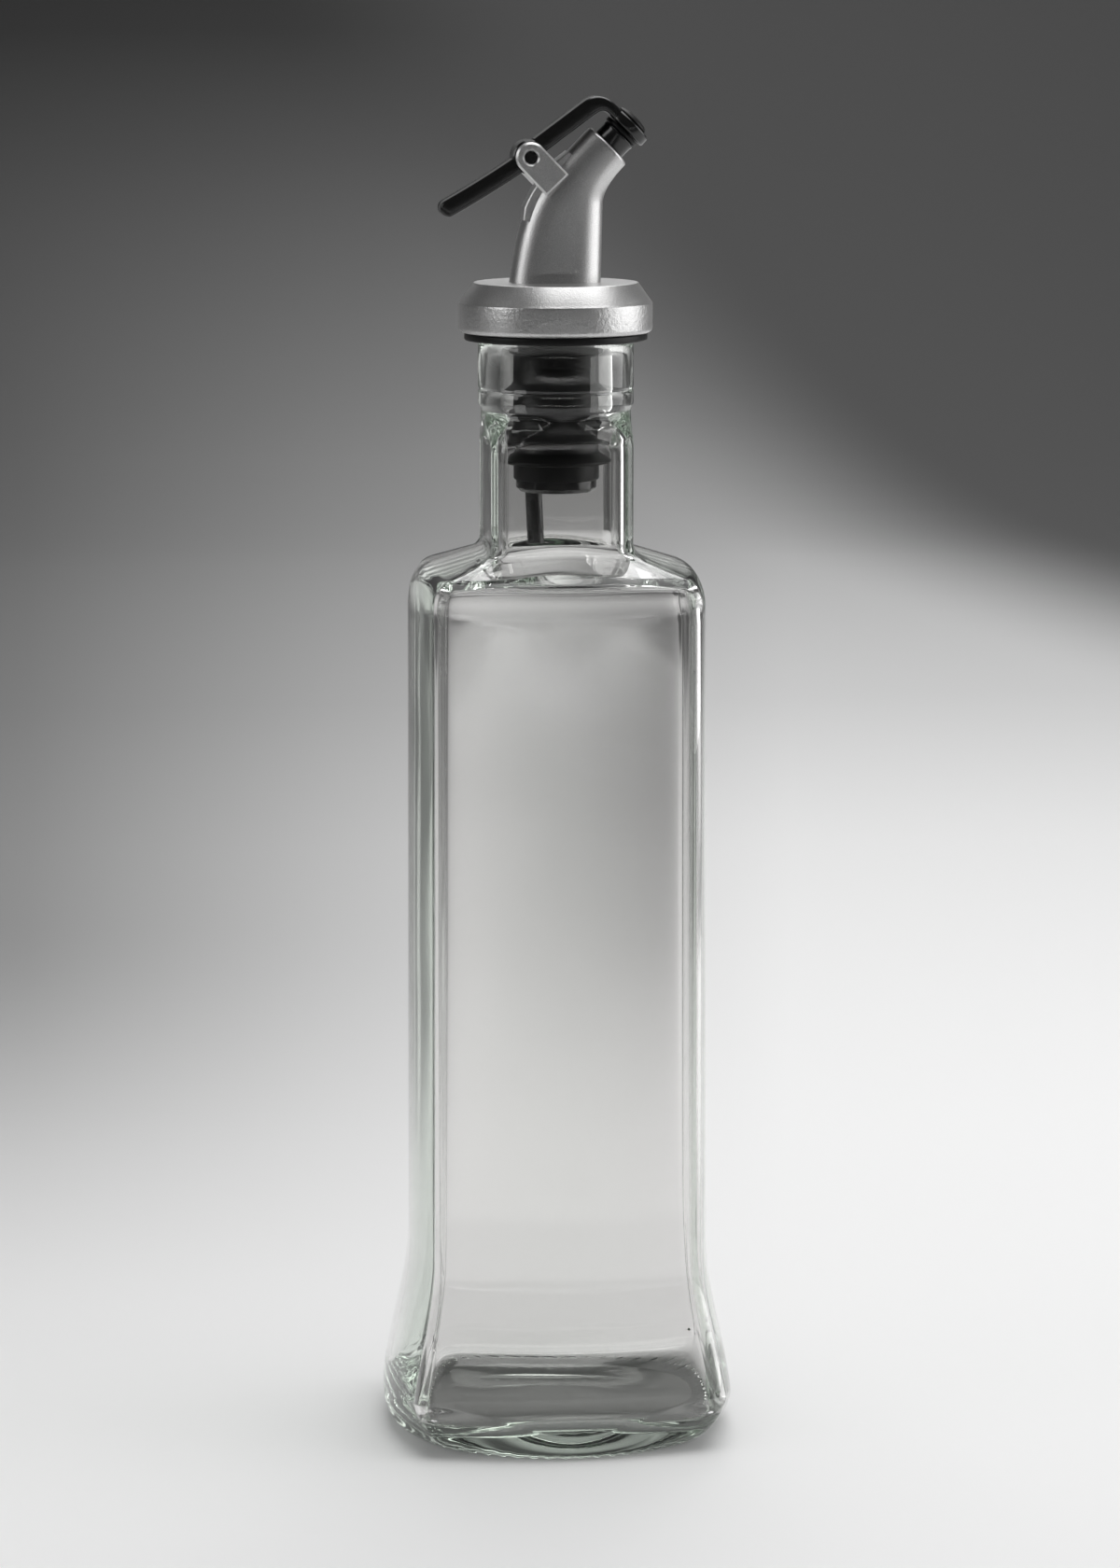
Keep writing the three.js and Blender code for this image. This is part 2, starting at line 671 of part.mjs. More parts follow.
/** The raised pad on the tower's rear between the ears. */
function padSolid() {
  const steps = 10;
  const crest = [];
  const root = [];
  for (let step = 0; step <= steps; step += 1) {
    const share = lerp(PAD_START, PAD_END, step / steps);
    const tangent = rearCurve.getTangent(share);
    const outwards = new THREE.Vector2(-tangent.z, tangent.x);
    const at = rearCurve.getPoint(share);
    const onCurve = new THREE.Vector2(at.x, at.z);
    crest.push(onCurve.clone().addScaledVector(outwards, PAD_HEIGHT * Math.sin((Math.PI * step) / steps)));
    root.push(onCurve.clone().addScaledVector(outwards, -PAD_ROOT));
  }
  const outline = new THREE.Shape([...crest, ...root.reverse()]);
  return solidOf(extrudeAcross(outline, 2 * earInner + EAR_THICKNESS, 0));
}

/** Lays a geometry that was turned about Z along Y, at the pivot. */
function alongPin(geometry) {
  geometry.rotateX(-Math.PI / 2);
  geometry.translate(PIVOT_X, 0, PIVOT_RISE);
  return geometry;
}

function pinHoleSolid() {
  const radius = PIN_RADIUS + PIN_GAP;
  const mouth = radius + PIN_HOLE_CHAMFER;
  const past = earOuter + 1;
  const profile = [
    [0, -past],
    [mouth, -past],
    [mouth, -earOuter],
    [radius, PIN_HOLE_CHAMFER - earOuter],
    [radius, earOuter - PIN_HOLE_CHAMFER],
    [mouth, earOuter],
    [mouth, past],
    [0, past],
  ];
  return solidOf(alongPin(revolve(profile, SMALL_SIDES)));
}

const coilStart = LEVER_WIDTH / 2 - POCKET_DEPTH + POCKET_GAP + WIRE_RADIUS;
const coilEnd = coilStart + COIL_TURNS * COIL_PITCH;

/** Room for one end of the spring, from one place along the pin to another. */
function tangHole(from, to, turns) {
  const angle = 2 * Math.PI * turns;
  const hole = new THREE.CylinderGeometry(WIRE_RADIUS + PIN_GAP, WIRE_RADIUS + PIN_GAP, to - from, 8);
  hole.translate(COIL_RADIUS * Math.cos(angle), (from + to) / 2, COIL_RADIUS * Math.sin(angle));
  return hole;
}

function shellGeometry() {
  const rearTang = tangHole(earInner - HUB_SIDE_GAP, coilEnd + TANG_LENGTH + SHELL_GAP, COIL_TURNS);
  rearTang.translate(PIVOT_X, 0, PIVOT_RISE);
  const cavity = solidOf(loftRings(towerRings(towerWall, COLLAR_BEVEL_RISE, NOZZLE_LENGTH)));
  const solid = collarSolid()
    .add(towerSolid(TOWER_WALL / 2))
    .add(padSolid())
    .add(earSolid(1))
    .add(earSolid(-1))
    .subtract(recessSolid())
    .subtract(cavity)
    .subtract(pinHoleSolid())
    .subtract(solidOf(rearTang));
  return geometryOf(solid);
}

function pinGeometry() {
  const half = earOuter - PIN_RECESS;
  const profile = [
    [0, -half],
    [PIN_RADIUS - PIN_CHAMFER, -half],
    [PIN_RADIUS, PIN_CHAMFER - half],
    [PIN_RADIUS, half - PIN_CHAMFER],
    [PIN_RADIUS - PIN_CHAMFER, half],
    [0, half],
  ];
  return alongPin(revolve(profile, SMALL_SIDES));
}

// Core: spigot, flange, the filling of the tower and the nozzle.

const spigotBase = -COLLAR_HEIGHT - SEAT_GAP - FLANGE_THICKNESS - SLEEVE_LENGTH - SEAT_GAP - BARB_HEIGHT;
const coreFlangeBase = -COLLAR_HEIGHT + SEAT_GAP;
const coreFlangeTop = coreFlangeBase + CORE_FLANGE_THICKNESS;

function spigotSolid() {
  const flangeRadius = recessRadius - SHELL_GAP;
  const barbChamfer = BARB_RADIUS - SPIGOT_RADIUS;
  const profile = [
    [0, spigotBase],
    [BARB_RADIUS - barbChamfer, spigotBase],
    [BARB_RADIUS, spigotBase + barbChamfer],
    [BARB_RADIUS, spigotBase + BARB_HEIGHT],
    [SPIGOT_RADIUS, spigotBase + BARB_HEIGHT],
    [SPIGOT_RADIUS, coreFlangeBase],
    [flangeRadius, coreFlangeBase],
    [flangeRadius, coreFlangeTop],
    [0, coreFlangeTop],
  ];
  return solidOf(revolve(profile, ROUND_SIDES));
}

/** Turns a geometry made about Z to the mouth's direction, a distance out from the mouth. */
function atMouth(geometry) {
  geometry.rotateY(mouthTilt);
  geometry.translate(mouthCentre.x, mouthCentre.y, mouthCentre.z);
  return geometry;
}

function nozzleSolid() {
  const lip = NOZZLE_RADIUS + NOZZLE_LIP;
  const root = -MOUTH_RADIUS / 2;
  const profile = [
    [0, root],
    [NOZZLE_RADIUS, root],
    [NOZZLE_RADIUS, NOZZLE_LENGTH - NOZZLE_LIP_THICKNESS],
    [lip, NOZZLE_LENGTH - NOZZLE_LIP_THICKNESS / 2],
    [lip, NOZZLE_LENGTH],
    [0, NOZZLE_LENGTH],
  ];
  return solidOf(atMouth(revolve(profile, TOWER_SIDES)));
}

/** A point of the tower, moved from the section's middle towards the front. */
function insideTower(share, offset) {
  const section = towerSection(share);
  return section.middle.addScaledVector(section.along, offset);
}

/** A way through the core from a point below up to the nozzle's end. */
function passageSolid(footX, footZ, offset, radius, sides) {
  const out = insideTower(1, offset);
  const curve = new THREE.CatmullRomCurve3([
    new THREE.Vector3(footX, 0, footZ),
    new THREE.Vector3(footX, 0, lerp(footZ, coreFlangeTop, 0.7)),
    insideTower(0.25, offset),
    insideTower(0.5, offset),
    insideTower(0.75, offset),
    out,
    out.clone().addScaledVector(mouthNormal, 2 * NOZZLE_LENGTH),
  ]);
  return solidOf(sweepRound(curve, radius, sides, 24));
}

/** Puts a geometry made about Z on the vent tube's slightly tilted axis. */
function onVentAxis(geometry) {
  geometry.rotateY(-rad(VENT_TILT_DEG));
  geometry.translate(VENT_X, 0, spigotBase);
  return geometry;
}

function ventSocketSolid() {
  const radius = VENT_RADIUS + SHELL_GAP;
  const depth = VENT_SEAT + SHELL_GAP;
  const profile = [[0, -BARB_HEIGHT], [radius, -BARB_HEIGHT], [radius, depth], [0, depth]];
  return solidOf(onVentAxis(revolve(profile, SMALL_SIDES)));
}

function coreGeometry() {
  const inset = (share) => towerWall(share) + SHELL_GAP;
  const ductX = VENT_X - VENT_SEAT * Math.tan(rad(VENT_TILT_DEG));
  const solid = spigotSolid()
    .add(solidOf(loftRings(towerRings(inset, -coreFlangeBase - CORE_FLANGE_THICKNESS / 2, 0))))
    .add(nozzleSolid())
    .subtract(passageSolid(CHANNEL_FOOT_X, spigotBase - BARB_HEIGHT, CHANNEL_OFFSET, CHANNEL_RADIUS, 5))
    .subtract(passageSolid(ductX, spigotBase + VENT_SEAT, -DUCT_OFFSET, DUCT_RADIUS, 3))
    .subtract(ventSocketSolid());
  return geometryOf(solid);
}

function ventTubeGeometry() {
  const profile = [
    [VENT_BORE_RADIUS, -VENT_DROP],
    [VENT_RADIUS, -VENT_DROP],
    [VENT_RADIUS, VENT_SEAT],
    [VENT_BORE_RADIUS, VENT_SEAT],
    [VENT_BORE_RADIUS, -VENT_DROP],
  ];
  return onVentAxis(revolve(profile, SMALL_SIDES));
}

// Lever, with the pivot as its origin.

const mouthFromPivot = new THREE.Vector3(MOUTH_X - PIVOT_X, 0, MOUTH_RISE - PIVOT_RISE);
const sealBase = NOZZLE_LENGTH + TURNED_GAP;
const capBase = sealBase + SEAL_DISC_THICKNESS + TURNED_GAP;
const capTop = capBase + CAP_THICKNESS;

/** Outline of a bar along a line of points, half as thick to each side as the function says. */
function barOutline(points, halfThickness) {
  const upper = [];
  const lower = [];
  points.forEach((point, i) => {
    const before = points[Math.max(0, i - 1)];
    const after = points[Math.min(points.length - 1, i + 1)];
    const along = after.clone().sub(before).normalize();
    const normal = new THREE.Vector2(-along.y, along.x);
    const half = halfThickness(i / (points.length - 1));
    upper.push(point.clone().addScaledVector(normal, half));
    lower.push(point.clone().addScaledVector(normal, -half));
  });
  return new THREE.Shape([...upper, ...lower.reverse()]);
}

/** The thumb tail, from the hub down to a rounded tip. */
function tailSolid() {
  const curve = new THREE.QuadraticBezierCurve(
    new THREE.Vector2(0, 0),
    new THREE.Vector2(-TAIL_BEND_REACH, -TAIL_BEND_DROP),
    new THREE.Vector2(-TAIL_REACH, -TAIL_DROP),
  );
  const half = TAIL_THICKNESS / 2;
  const bar = solidOf(extrudeAcross(barOutline(curve.getPoints(10), () => half), LEVER_WIDTH, LEVER_EDGE));
  const tip = new THREE.Shape();
  tip.absarc(-TAIL_REACH, -TAIL_DROP, half, 0, 2 * Math.PI);
  return bar.add(solidOf(extrudeAcross(tip, LEVER_WIDTH, LEVER_EDGE)));
}

/** The arm from the hub to the cap, with its bend. */
function armSolid() {
  const rise = rad(ARM_RISE_DEG);
  const along = new THREE.Vector2(Math.cos(rise), Math.sin(rise));
  const start = new THREE.Vector2(-Math.sin(rise), Math.cos(rise)).multiplyScalar(ARM_OFFSET);
  const capMiddle = mouthFromPivot.clone().addScaledVector(mouthNormal, (capBase + capTop) / 2);
  const capCentre = new THREE.Vector2(capMiddle.x, capMiddle.z);
  const down = new THREE.Vector2(mouthSlope.x, mouthSlope.z);
  const toCap = capCentre.clone().sub(start);
  const corner = start.clone().addScaledVector(along, toCap.cross(down) / along.cross(down));
  const bend = new THREE.QuadraticBezierCurve(
    corner.clone().addScaledVector(along, -ARM_BEND_LENGTH),
    corner,
    corner.clone().addScaledVector(down, ARM_BEND_LENGTH),
  );
  const points = [start, ...bend.getPoints(8), capCentre];
  const half = (share) => lerp(ARM_THICKNESS, CAP_THICKNESS, THREE.MathUtils.smoothstep(share, 0.1, 0.9)) / 2;
  return solidOf(extrudeAcross(barOutline(points, half), LEVER_WIDTH, LEVER_EDGE));
}

/** Turns a geometry made about Z, with heights out from the mouth, into the lever's own frame. */
function onCapAxis(geometry) {
  geometry.rotateY(mouthTilt);
  geometry.translate(mouthFromPivot.x, mouthFromPivot.y, mouthFromPivot.z);
  return geometry;
}

function capSolid() {
  const profile = [
    [0, capBase],
    [CAP_RADIUS - CAP_EDGE, capBase],
    [CAP_RADIUS, capBase + CAP_EDGE],
    [CAP_RADIUS, capTop - CAP_EDGE],
    [CAP_RADIUS - CAP_EDGE, capTop],
    [0, capTop],
  ];
  return solidOf(onCapAxis(revolve(profile, ROUND_SIDES)));
}

/** A round solid along the pin, from one place to another. */
function roundAcross(radius, from, to) {
  const geometry = new THREE.CylinderGeometry(radius, radius, to - from, ROUND_SIDES);
  geometry.translate(0, (from + to) / 2, 0);
  return solidOf(geometry);
}

function leverGeometry() {
  const half = LEVER_WIDTH / 2;
  const stemHole = SEAL_STEM_RADIUS + TURNED_GAP;
  const holeProfile = [
    [0, capBase - CAP_THICKNESS],
    [stemHole, capBase - CAP_THICKNESS],
    [stemHole, capTop + CAP_THICKNESS],
    [0, capTop + CAP_THICKNESS],
  ];
  const pocketFloor = half - POCKET_DEPTH;
  const solid = tailSolid()
    .add(armSolid())
    .add(roundAcross(HUB_RADIUS, -half, half))
    .add(capSolid())
    .subtract(roundAcross(PIN_RADIUS + PIN_GAP, -half - 1, half + 1))
    .subtract(roundAcross(COIL_RADIUS + WIRE_RADIUS + POCKET_GAP, pocketFloor, half + 1))
    .subtract(solidOf(tangHole(coilStart - TANG_LENGTH - SHELL_GAP, pocketFloor + POCKET_GAP, 0)))
    .subtract(solidOf(onCapAxis(revolve(holeProfile, SMALL_SIDES))));
  return geometryOf(solid);
}

/** Soft plug: a disc under the cap, a stem through it and a domed head on top. */
function sealGeometry() {
  const headBase = capTop + TURNED_GAP;
  const profile = [
    [0, sealBase],
    [SEAL_DISC_RADIUS, sealBase],
    [SEAL_DISC_RADIUS, sealBase + SEAL_DISC_THICKNESS],
    [SEAL_STEM_RADIUS, sealBase + SEAL_DISC_THICKNESS],
    [SEAL_STEM_RADIUS, headBase],
  ];
  for (let step = 0; step < 6; step += 1) {
    const turn = (step * Math.PI) / 12;
    profile.push([SEAL_HEAD_RADIUS * Math.cos(turn), headBase + SEAL_HEAD_HEIGHT * Math.sin(turn)]);
  }
  profile.push([0, headBase + SEAL_HEAD_HEIGHT]);
  return onCapAxis(revolve(profile, TOWER_SIDES));
}

// Return spring, with the pivot as its origin.

/** Middle line of the wire: a tang along the pin, the turns, and a tang at the other end. */
function springPath() {
  const steps = Math.round(COIL_TURNS * WIRE_STEPS_PER_TURN);
  const points = [];
  for (let step = 0; step <= steps; step += 1) {
    const angle = (2 * Math.PI * COIL_TURNS * step) / steps;
    points.push(new THREE.Vector3(
      COIL_RADIUS * Math.cos(angle),
      lerp(coilStart, coilEnd, step / steps),
      COIL_RADIUS * Math.sin(angle),
    ));
  }
  const tang = new THREE.Vector3(0, TANG_LENGTH, 0);
  return [points[0].clone().sub(tang), ...points, points[points.length - 1].clone().add(tang)];
}

/** Closed tube round a line of points, with mitred joints. */
function wireGeometry(points) {
  let side = new THREE.Vector3(1, 0, 0);
  const rings = points.map((point, i) => {
    const before = points[Math.max(0, i - 1)];
    const after = points[Math.min(points.length - 1, i + 1)];
    const along = after.clone().sub(before).normalize();
    side = side.clone().addScaledVector(along, -side.dot(along)).normalize();
    const up = along.clone().cross(side);
    const ring = [];
    for (let k = 0; k < WIRE_SIDES; k += 1) {
      const angle = (2 * Math.PI * k) / WIRE_SIDES;
      const offset = side.clone().multiplyScalar(WIRE_RADIUS * Math.cos(angle));
      ring.push(offset.addScaledVector(up, WIRE_RADIUS * Math.sin(angle)).add(point));
    }
    return ring;
  });
  return loftRings(rings);
}

/** Least gap between stretches of the wire that are half a turn or more apart. */
function leastGap(points) {
  const apart = WIRE_STEPS_PER_TURN / 2;
  let least = Infinity;
  for (let i = 0; i < points.length; i += 1) {
    for (let k = i + apart; k < points.length; k += 1) {
      least = Math.min(least, points[i].distanceTo(points[k]));
    }
  }
  return least - 2 * WIRE_RADIUS;
}

const springPoints = springPath();
console.log(`return spring: least gap to itself ${leastGap(springPoints).toFixed(2)} mm`);

// Assembly.

const clearGlass = new THREE.MeshStandardMaterial({
  color: 0xdfe8e2, roughness: 0.03, metalness: 0, transparent: true, opacity: 0.35,
});
const blackRubber = new THREE.MeshStandardMaterial({ color: 0x151517, roughness: 0.6, metalness: 0 });
const silverPaint = new THREE.MeshStandardMaterial({ color: 0xb4b3b2, roughness: 0.34, metalness: 0.85 });
const blackPlastic = new THREE.MeshStandardMaterial({ color: 0x121213, roughness: 0.3, metalness: 0 });
const springSteel = new THREE.MeshStandardMaterial({ color: 0x9a9a98, roughness: 0.3, metalness: 1 });

function piece(name, geometry, material) {
  geometry.computeVertexNormals();
  const mesh = new THREE.Mesh(geometry, material.clone());
  mesh.name = name;
  return mesh;
}

const cruet = new THREE.Group();
cruet.add(piece('glass_bottle', bottleGeometry(), clearGlass));

const stopper = piece('rubber_stopper', stopperGeometry(), blackRubber);
stopper.position.z = flangeBase;
cruet.add(stopper);

const head = new THREE.Group();
head.position.z = collarTop;
head.add(piece('spout_shell', shellGeometry(), silverPaint));
head.add(piece('pour_core', coreGeometry(), blackPlastic));
head.add(piece('vent_tube', ventTubeGeometry(), blackPlastic));
head.add(piece('hinge_pin', pinGeometry(), blackPlastic));
cruet.add(head);

const leverGroup = new THREE.Group();
leverGroup.position.set(PIVOT_X, 0, PIVOT_RISE);
leverGroup.add(piece('lever', leverGeometry(), blackPlastic));
leverGroup.add(piece('lever_seal', sealGeometry(), blackRubber));
leverGroup.add(piece('return_spring', wireGeometry(springPoints), springSteel));
head.add(leverGroup);

export default cruet;
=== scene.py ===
"""Looks of the cruet: glass bottle, rubber stopper, pouring head and lever, with floor, light and camera."""

import logging
import math
from dataclasses import dataclass, field, replace
from enum import Enum
from typing import Any, Callable, Mapping, Sequence

import bmesh
import bpy
from mathutils import Matrix, Vector, noise


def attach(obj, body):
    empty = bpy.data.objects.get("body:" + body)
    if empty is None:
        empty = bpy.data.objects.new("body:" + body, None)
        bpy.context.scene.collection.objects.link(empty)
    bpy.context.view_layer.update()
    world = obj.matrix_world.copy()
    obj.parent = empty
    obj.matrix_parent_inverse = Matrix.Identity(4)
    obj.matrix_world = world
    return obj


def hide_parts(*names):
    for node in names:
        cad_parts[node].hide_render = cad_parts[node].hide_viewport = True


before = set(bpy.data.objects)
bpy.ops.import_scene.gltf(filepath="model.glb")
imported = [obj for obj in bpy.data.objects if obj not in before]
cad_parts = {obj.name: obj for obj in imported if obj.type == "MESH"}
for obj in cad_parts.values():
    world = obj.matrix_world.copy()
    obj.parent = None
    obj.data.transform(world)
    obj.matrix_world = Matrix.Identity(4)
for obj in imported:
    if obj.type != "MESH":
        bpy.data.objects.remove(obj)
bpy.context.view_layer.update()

MM = 0.001
MERGE_DISTANCE = 1e-4
SLIVER_LENGTH = 1e-5
LOG = logging.getLogger("cruet")
Profile = Sequence[tuple[float, float]]
Ring = list[Vector]
Colour = tuple[float, float, float, float]


class Slot(Enum):
    """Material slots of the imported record."""

    GLASS = "clear_glass"
    RUBBER = "black_rubber"
    SILVER = "silver_paint"
    PLASTIC = "black_plastic"
    STEEL = "spring_steel"


class Body(Enum):
    """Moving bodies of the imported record."""

    BOTTLE = "bottle"
    STOPPER = "stopper"
    HEAD = "head"
    LEVER = "lever_body"


def lerp(first: float, last: float, share: float) -> float:
    """Value between two others."""
    return first + (last - first) * share


def smoothstep(value: float, low: float, high: float) -> float:
    """Smooth rise from 0 at low to 1 at high."""
    share = min(1.0, max(0.0, (value - low) / (high - low)))
    return share * share * (3 - 2 * share)


def shares(count: int) -> list[float]:
    """Evenly spread shares from 0 to 1, both ends included."""
    return [step / (count - 1) for step in range(count)]


def arc(centre: tuple[float, float], radius: float, start: float, end: float, steps: int = 5) -> Profile:
    """Points of an arc in a profile.

    Args:
        centre: Middle of the arc, as radius and height.
        radius: Radius of the arc in millimetres.
        start: First direction in degrees, 0 outwards and 90 up.
        end: Last direction in degrees.
        steps: Number of points.

    Returns:
        The points, as radius and height.
    """
    turns = [math.radians(lerp(start, end, share)) for share in shares(steps)]
    return [(centre[0] + radius * math.cos(turn), centre[1] + radius * math.sin(turn)) for turn in turns]


def bezier(points: Sequence[Vector], share: float) -> Vector:
    """Point of a Bezier curve.

    Args:
        points: Control points, three or four of them.
        share: Place along the curve, 0 to 1.

    Returns:
        The point.
    """
    level = list(points)
    while len(level) > 1:
        level = [first.lerp(last, share) for first, last in zip(level, level[1:])]
    return level[0]


class Wire:
    """An output socket that takes part in Python expressions, which add Math nodes."""

    def __init__(self, graph: "Graph", socket: bpy.types.NodeSocket) -> None:
        """Keeps the socket and the graph that it is in."""
        self.graph = graph
        self.socket = socket

    def _math(self, operation: str, first: "Wire | float", second: "Wire | float" = 0.0) -> "Wire":
        """One Math node of an operation on two values."""
        return self.graph.add("ShaderNodeMath", {"operation": operation}, {0: first, 1: second})

    def __abs__(self) -> "Wire":
        """Size without its sign."""
        return self._math("ABSOLUTE", self)

    def __add__(self, other: "Wire | float") -> "Wire":
        """Sum."""
        return self._math("ADD", self, other)

    def __radd__(self, other: float) -> "Wire":
        """Sum with a number first."""
        return self._math("ADD", other, self)

    def __sub__(self, other: "Wire | float") -> "Wire":
        """Difference."""
        return self._math("SUBTRACT", self, other)

    def __rsub__(self, other: float) -> "Wire":
        """Difference from a number."""
        return self._math("SUBTRACT", other, self)

    def __mul__(self, other: "Wire | float") -> "Wire":
        """Product."""
        return self._math("MULTIPLY", self, other)

    def __rmul__(self, other: float) -> "Wire":
        """Product with a number first."""
        return self._math("MULTIPLY", other, self)

    def __truediv__(self, other: "Wire | float") -> "Wire":
        """Quotient."""
        return self._math("DIVIDE", self, other)


@dataclass(frozen=True)
class Grain:
    """A noise pattern: its scale per metre, its octaves and how strong the finer ones are."""

    scale: float
    detail: float
    roughness: float


class Graph:
    """Node graph of one material."""

    def __init__(self, name: str) -> None:
        """Starts an empty material.

        Args:
            name: Name of the material.
        """
        self.material = bpy.data.materials.new(name)
        self.material.use_nodes = True
        self.tree = self.material.node_tree
        self.tree.nodes.clear()

    def add(self, kind: str, settings: Mapping[str, Any] | None = None,
            inputs: Mapping[str | int, Any] | None = None, output: str | int = 0) -> Wire:
        """Adds one node.

        Args:
            kind: Type of the node.
            settings: Properties that are set first; "stops" gives a ramp's positions and colours.
            inputs: Values or wires of the node's sockets, by name or number.
            output: Socket that the returned wire holds, by name or number.

        Returns:
            The chosen output.
        """
        node = self.tree.nodes.new(kind)
        for key, value in (settings or {}).items():
            if key == "stops":
                self._set_stops(node.color_ramp, value)
            else:
                setattr(node, key, value)
        for key, value in (inputs or {}).items():
            if isinstance(value, Wire):
                self.tree.links.new(value.socket, node.inputs[key])
            else:
                node.inputs[key].default_value = value
        return Wire(self, node.outputs[output]) if len(node.outputs) else Wire(self, node.inputs[0])

    @staticmethod
    def _set_stops(ramp: bpy.types.ColorRamp, stops: Sequence[tuple[float, float]]) -> None:
        """Gives a ramp its grey stops.

        Args:
            ramp: The ramp of a node.
            stops: Place and tone of each stop.
        """
        while len(ramp.elements) < len(stops):
            ramp.elements.new(1.0)
        for element, (place, tone) in zip(ramp.elements, stops):
            element.position = place
            element.color = (tone, tone, tone, 1.0)

    def coordinates(self) -> Wire:
        """Object coordinates, in metres."""
        return self.add("ShaderNodeTexCoord", output="Object")

    def noise(self, grain: Grain) -> Wire:
        """Adds noise on Object coordinates.

        Args:
            grain: The pattern.

        Returns:
            The noise, from 0 to 1.
        """
        return self.add("ShaderNodeTexNoise", {}, {
            "Vector": self.coordinates(), "Scale": grain.scale,
            "Detail": grain.detail, "Roughness": grain.roughness}, "Fac")

    def axis(self, name: str) -> Wire:
        """One of the Object coordinates, "X", "Y" or "Z"."""
        return self.add("ShaderNodeSeparateXYZ", {}, {0: self.coordinates()}, name)

    def step(self, value: Wire, low: float, high: float) -> Wire:
        """Smooth rise of a value from 0 at low to 1 at high."""
        return self.add("ShaderNodeMapRange", {"interpolation_type": "SMOOTHSTEP"}, {
            "Value": value, "From Min": low, "From Max": high}, "Result")

    def clamp(self, value: Wire, low: float, high: float) -> Wire:
        """Value kept between two limits."""
        return self.add("ShaderNodeClamp", {}, {"Value": value, "Min": low, "Max": high})

    def ramp(self, value: Wire, stops: Sequence[tuple[float, float]]) -> Wire:
        """Grey tone of a ramp."""
        return self.add("ShaderNodeValToRGB", {"stops": stops}, {"Fac": value}, "Color")

    def blend(self, share: Wire | float, first: Any, second: Any) -> Wire:
        """Colour between two others."""
        return self.add("ShaderNodeMix", {"data_type": "RGBA"}, {0: share, 6: first, 7: second}, 2)

    def bump(self, height: Wire, distance: float, strength: float = 1.0) -> Wire:
        """Normal of a height, whose full rise is the distance in metres."""
        return self.add("ShaderNodeBump", {}, {
            "Height": height, "Distance": distance, "Strength": strength}, "Normal")

    def finish(self, shader: Wire, volume: Wire | None = None) -> bpy.types.Material:
        """Ends the graph in its output node.

        Args:
            shader: What the surface shows.
            volume: What fills the inside.

        Returns:
            The finished material.
        """
        links: dict[str | int, Any] = {"Surface": shader}
        if volume:
            links["Volume"] = volume
        self.add("ShaderNodeOutputMaterial", {}, links)
        return self.material


def grey(tone: float, warmth: float = 0.0) -> Colour:
    """Grey of a linear tone, a little warmer or cooler."""
    return (tone * (1 + warmth), tone, tone * (1 - warmth), 1.0)


@dataclass(frozen=True)
class ClearGlass:
    """Clear bottle glass, green where it is thick.

    Attributes:
        skin: Tint of each surface that light goes through.
        tint: Colour that the thickness leaves, with the density per metre.
        index: Index of refraction.
        shadow: Tint of the lamps' light behind the glass.
        base_light: Share of the lamps' light that goes straight through the base.
        base_range: Heights between which the base ends.
        ripple: Unevenness of the skin, with its height in metres.
        marks: Faint handling marks, with the noise that shows them and their roughness.
    """

    skin: Colour = (0.915, 0.91, 0.905, 1.0)
    tint: Colour = (0.52, 0.72, 0.54, 1.0)
    density: float = 9.0
    index: float = 1.52
    shadow: Colour = (0.96, 0.965, 0.96, 1.0)
    base_light: float = 0.5
    base_range: tuple[float, float] = (0.0052, 0.0064)
    ripple: Grain = Grain(26.0, 1.0, 0.4)
    ripple_height: float = 0.00009
    marks: Grain = Grain(180.0, 3.0, 0.6)
    marks_range: tuple[float, float] = (0.6, 0.9)
    marks_roughness: float = 0.012

    def material(self) -> bpy.types.Material:
        """Makes glass with a faint ripple on its skin and absorption in its thickness.

        Lamps shine through it straight, less so through the base.

        Returns:
            The material.
        """
        graph = Graph("clear_glass_finish")
        ripple = graph.noise(self.ripple)
        marks = graph.step(graph.noise(self.marks), *self.marks_range)
        shader = graph.add("ShaderNodeBsdfPrincipled", {}, {
            "Base Color": self.skin,
            "Roughness": marks * self.marks_roughness,
            "IOR": self.index,
            "Transmission Weight": 1.0,
            "Normal": graph.bump(ripple, self.ripple_height)})
        clear = graph.add("ShaderNodeBsdfTransparent", {}, {"Color": self.shadow})
        shadow = graph.add("ShaderNodeLightPath", output="Is Shadow Ray")
        volume = graph.add("ShaderNodeVolumeAbsorption", {}, {"Color": self.tint, "Density": self.density})
        above_base = graph.step(graph.axis("Z"), *self.base_range)
        lit = shadow * (self.base_light + above_base * (1 - self.base_light))
        return graph.finish(graph.add("ShaderNodeMixShader", {}, {0: lit, 1: shader, 2: clear}), volume)


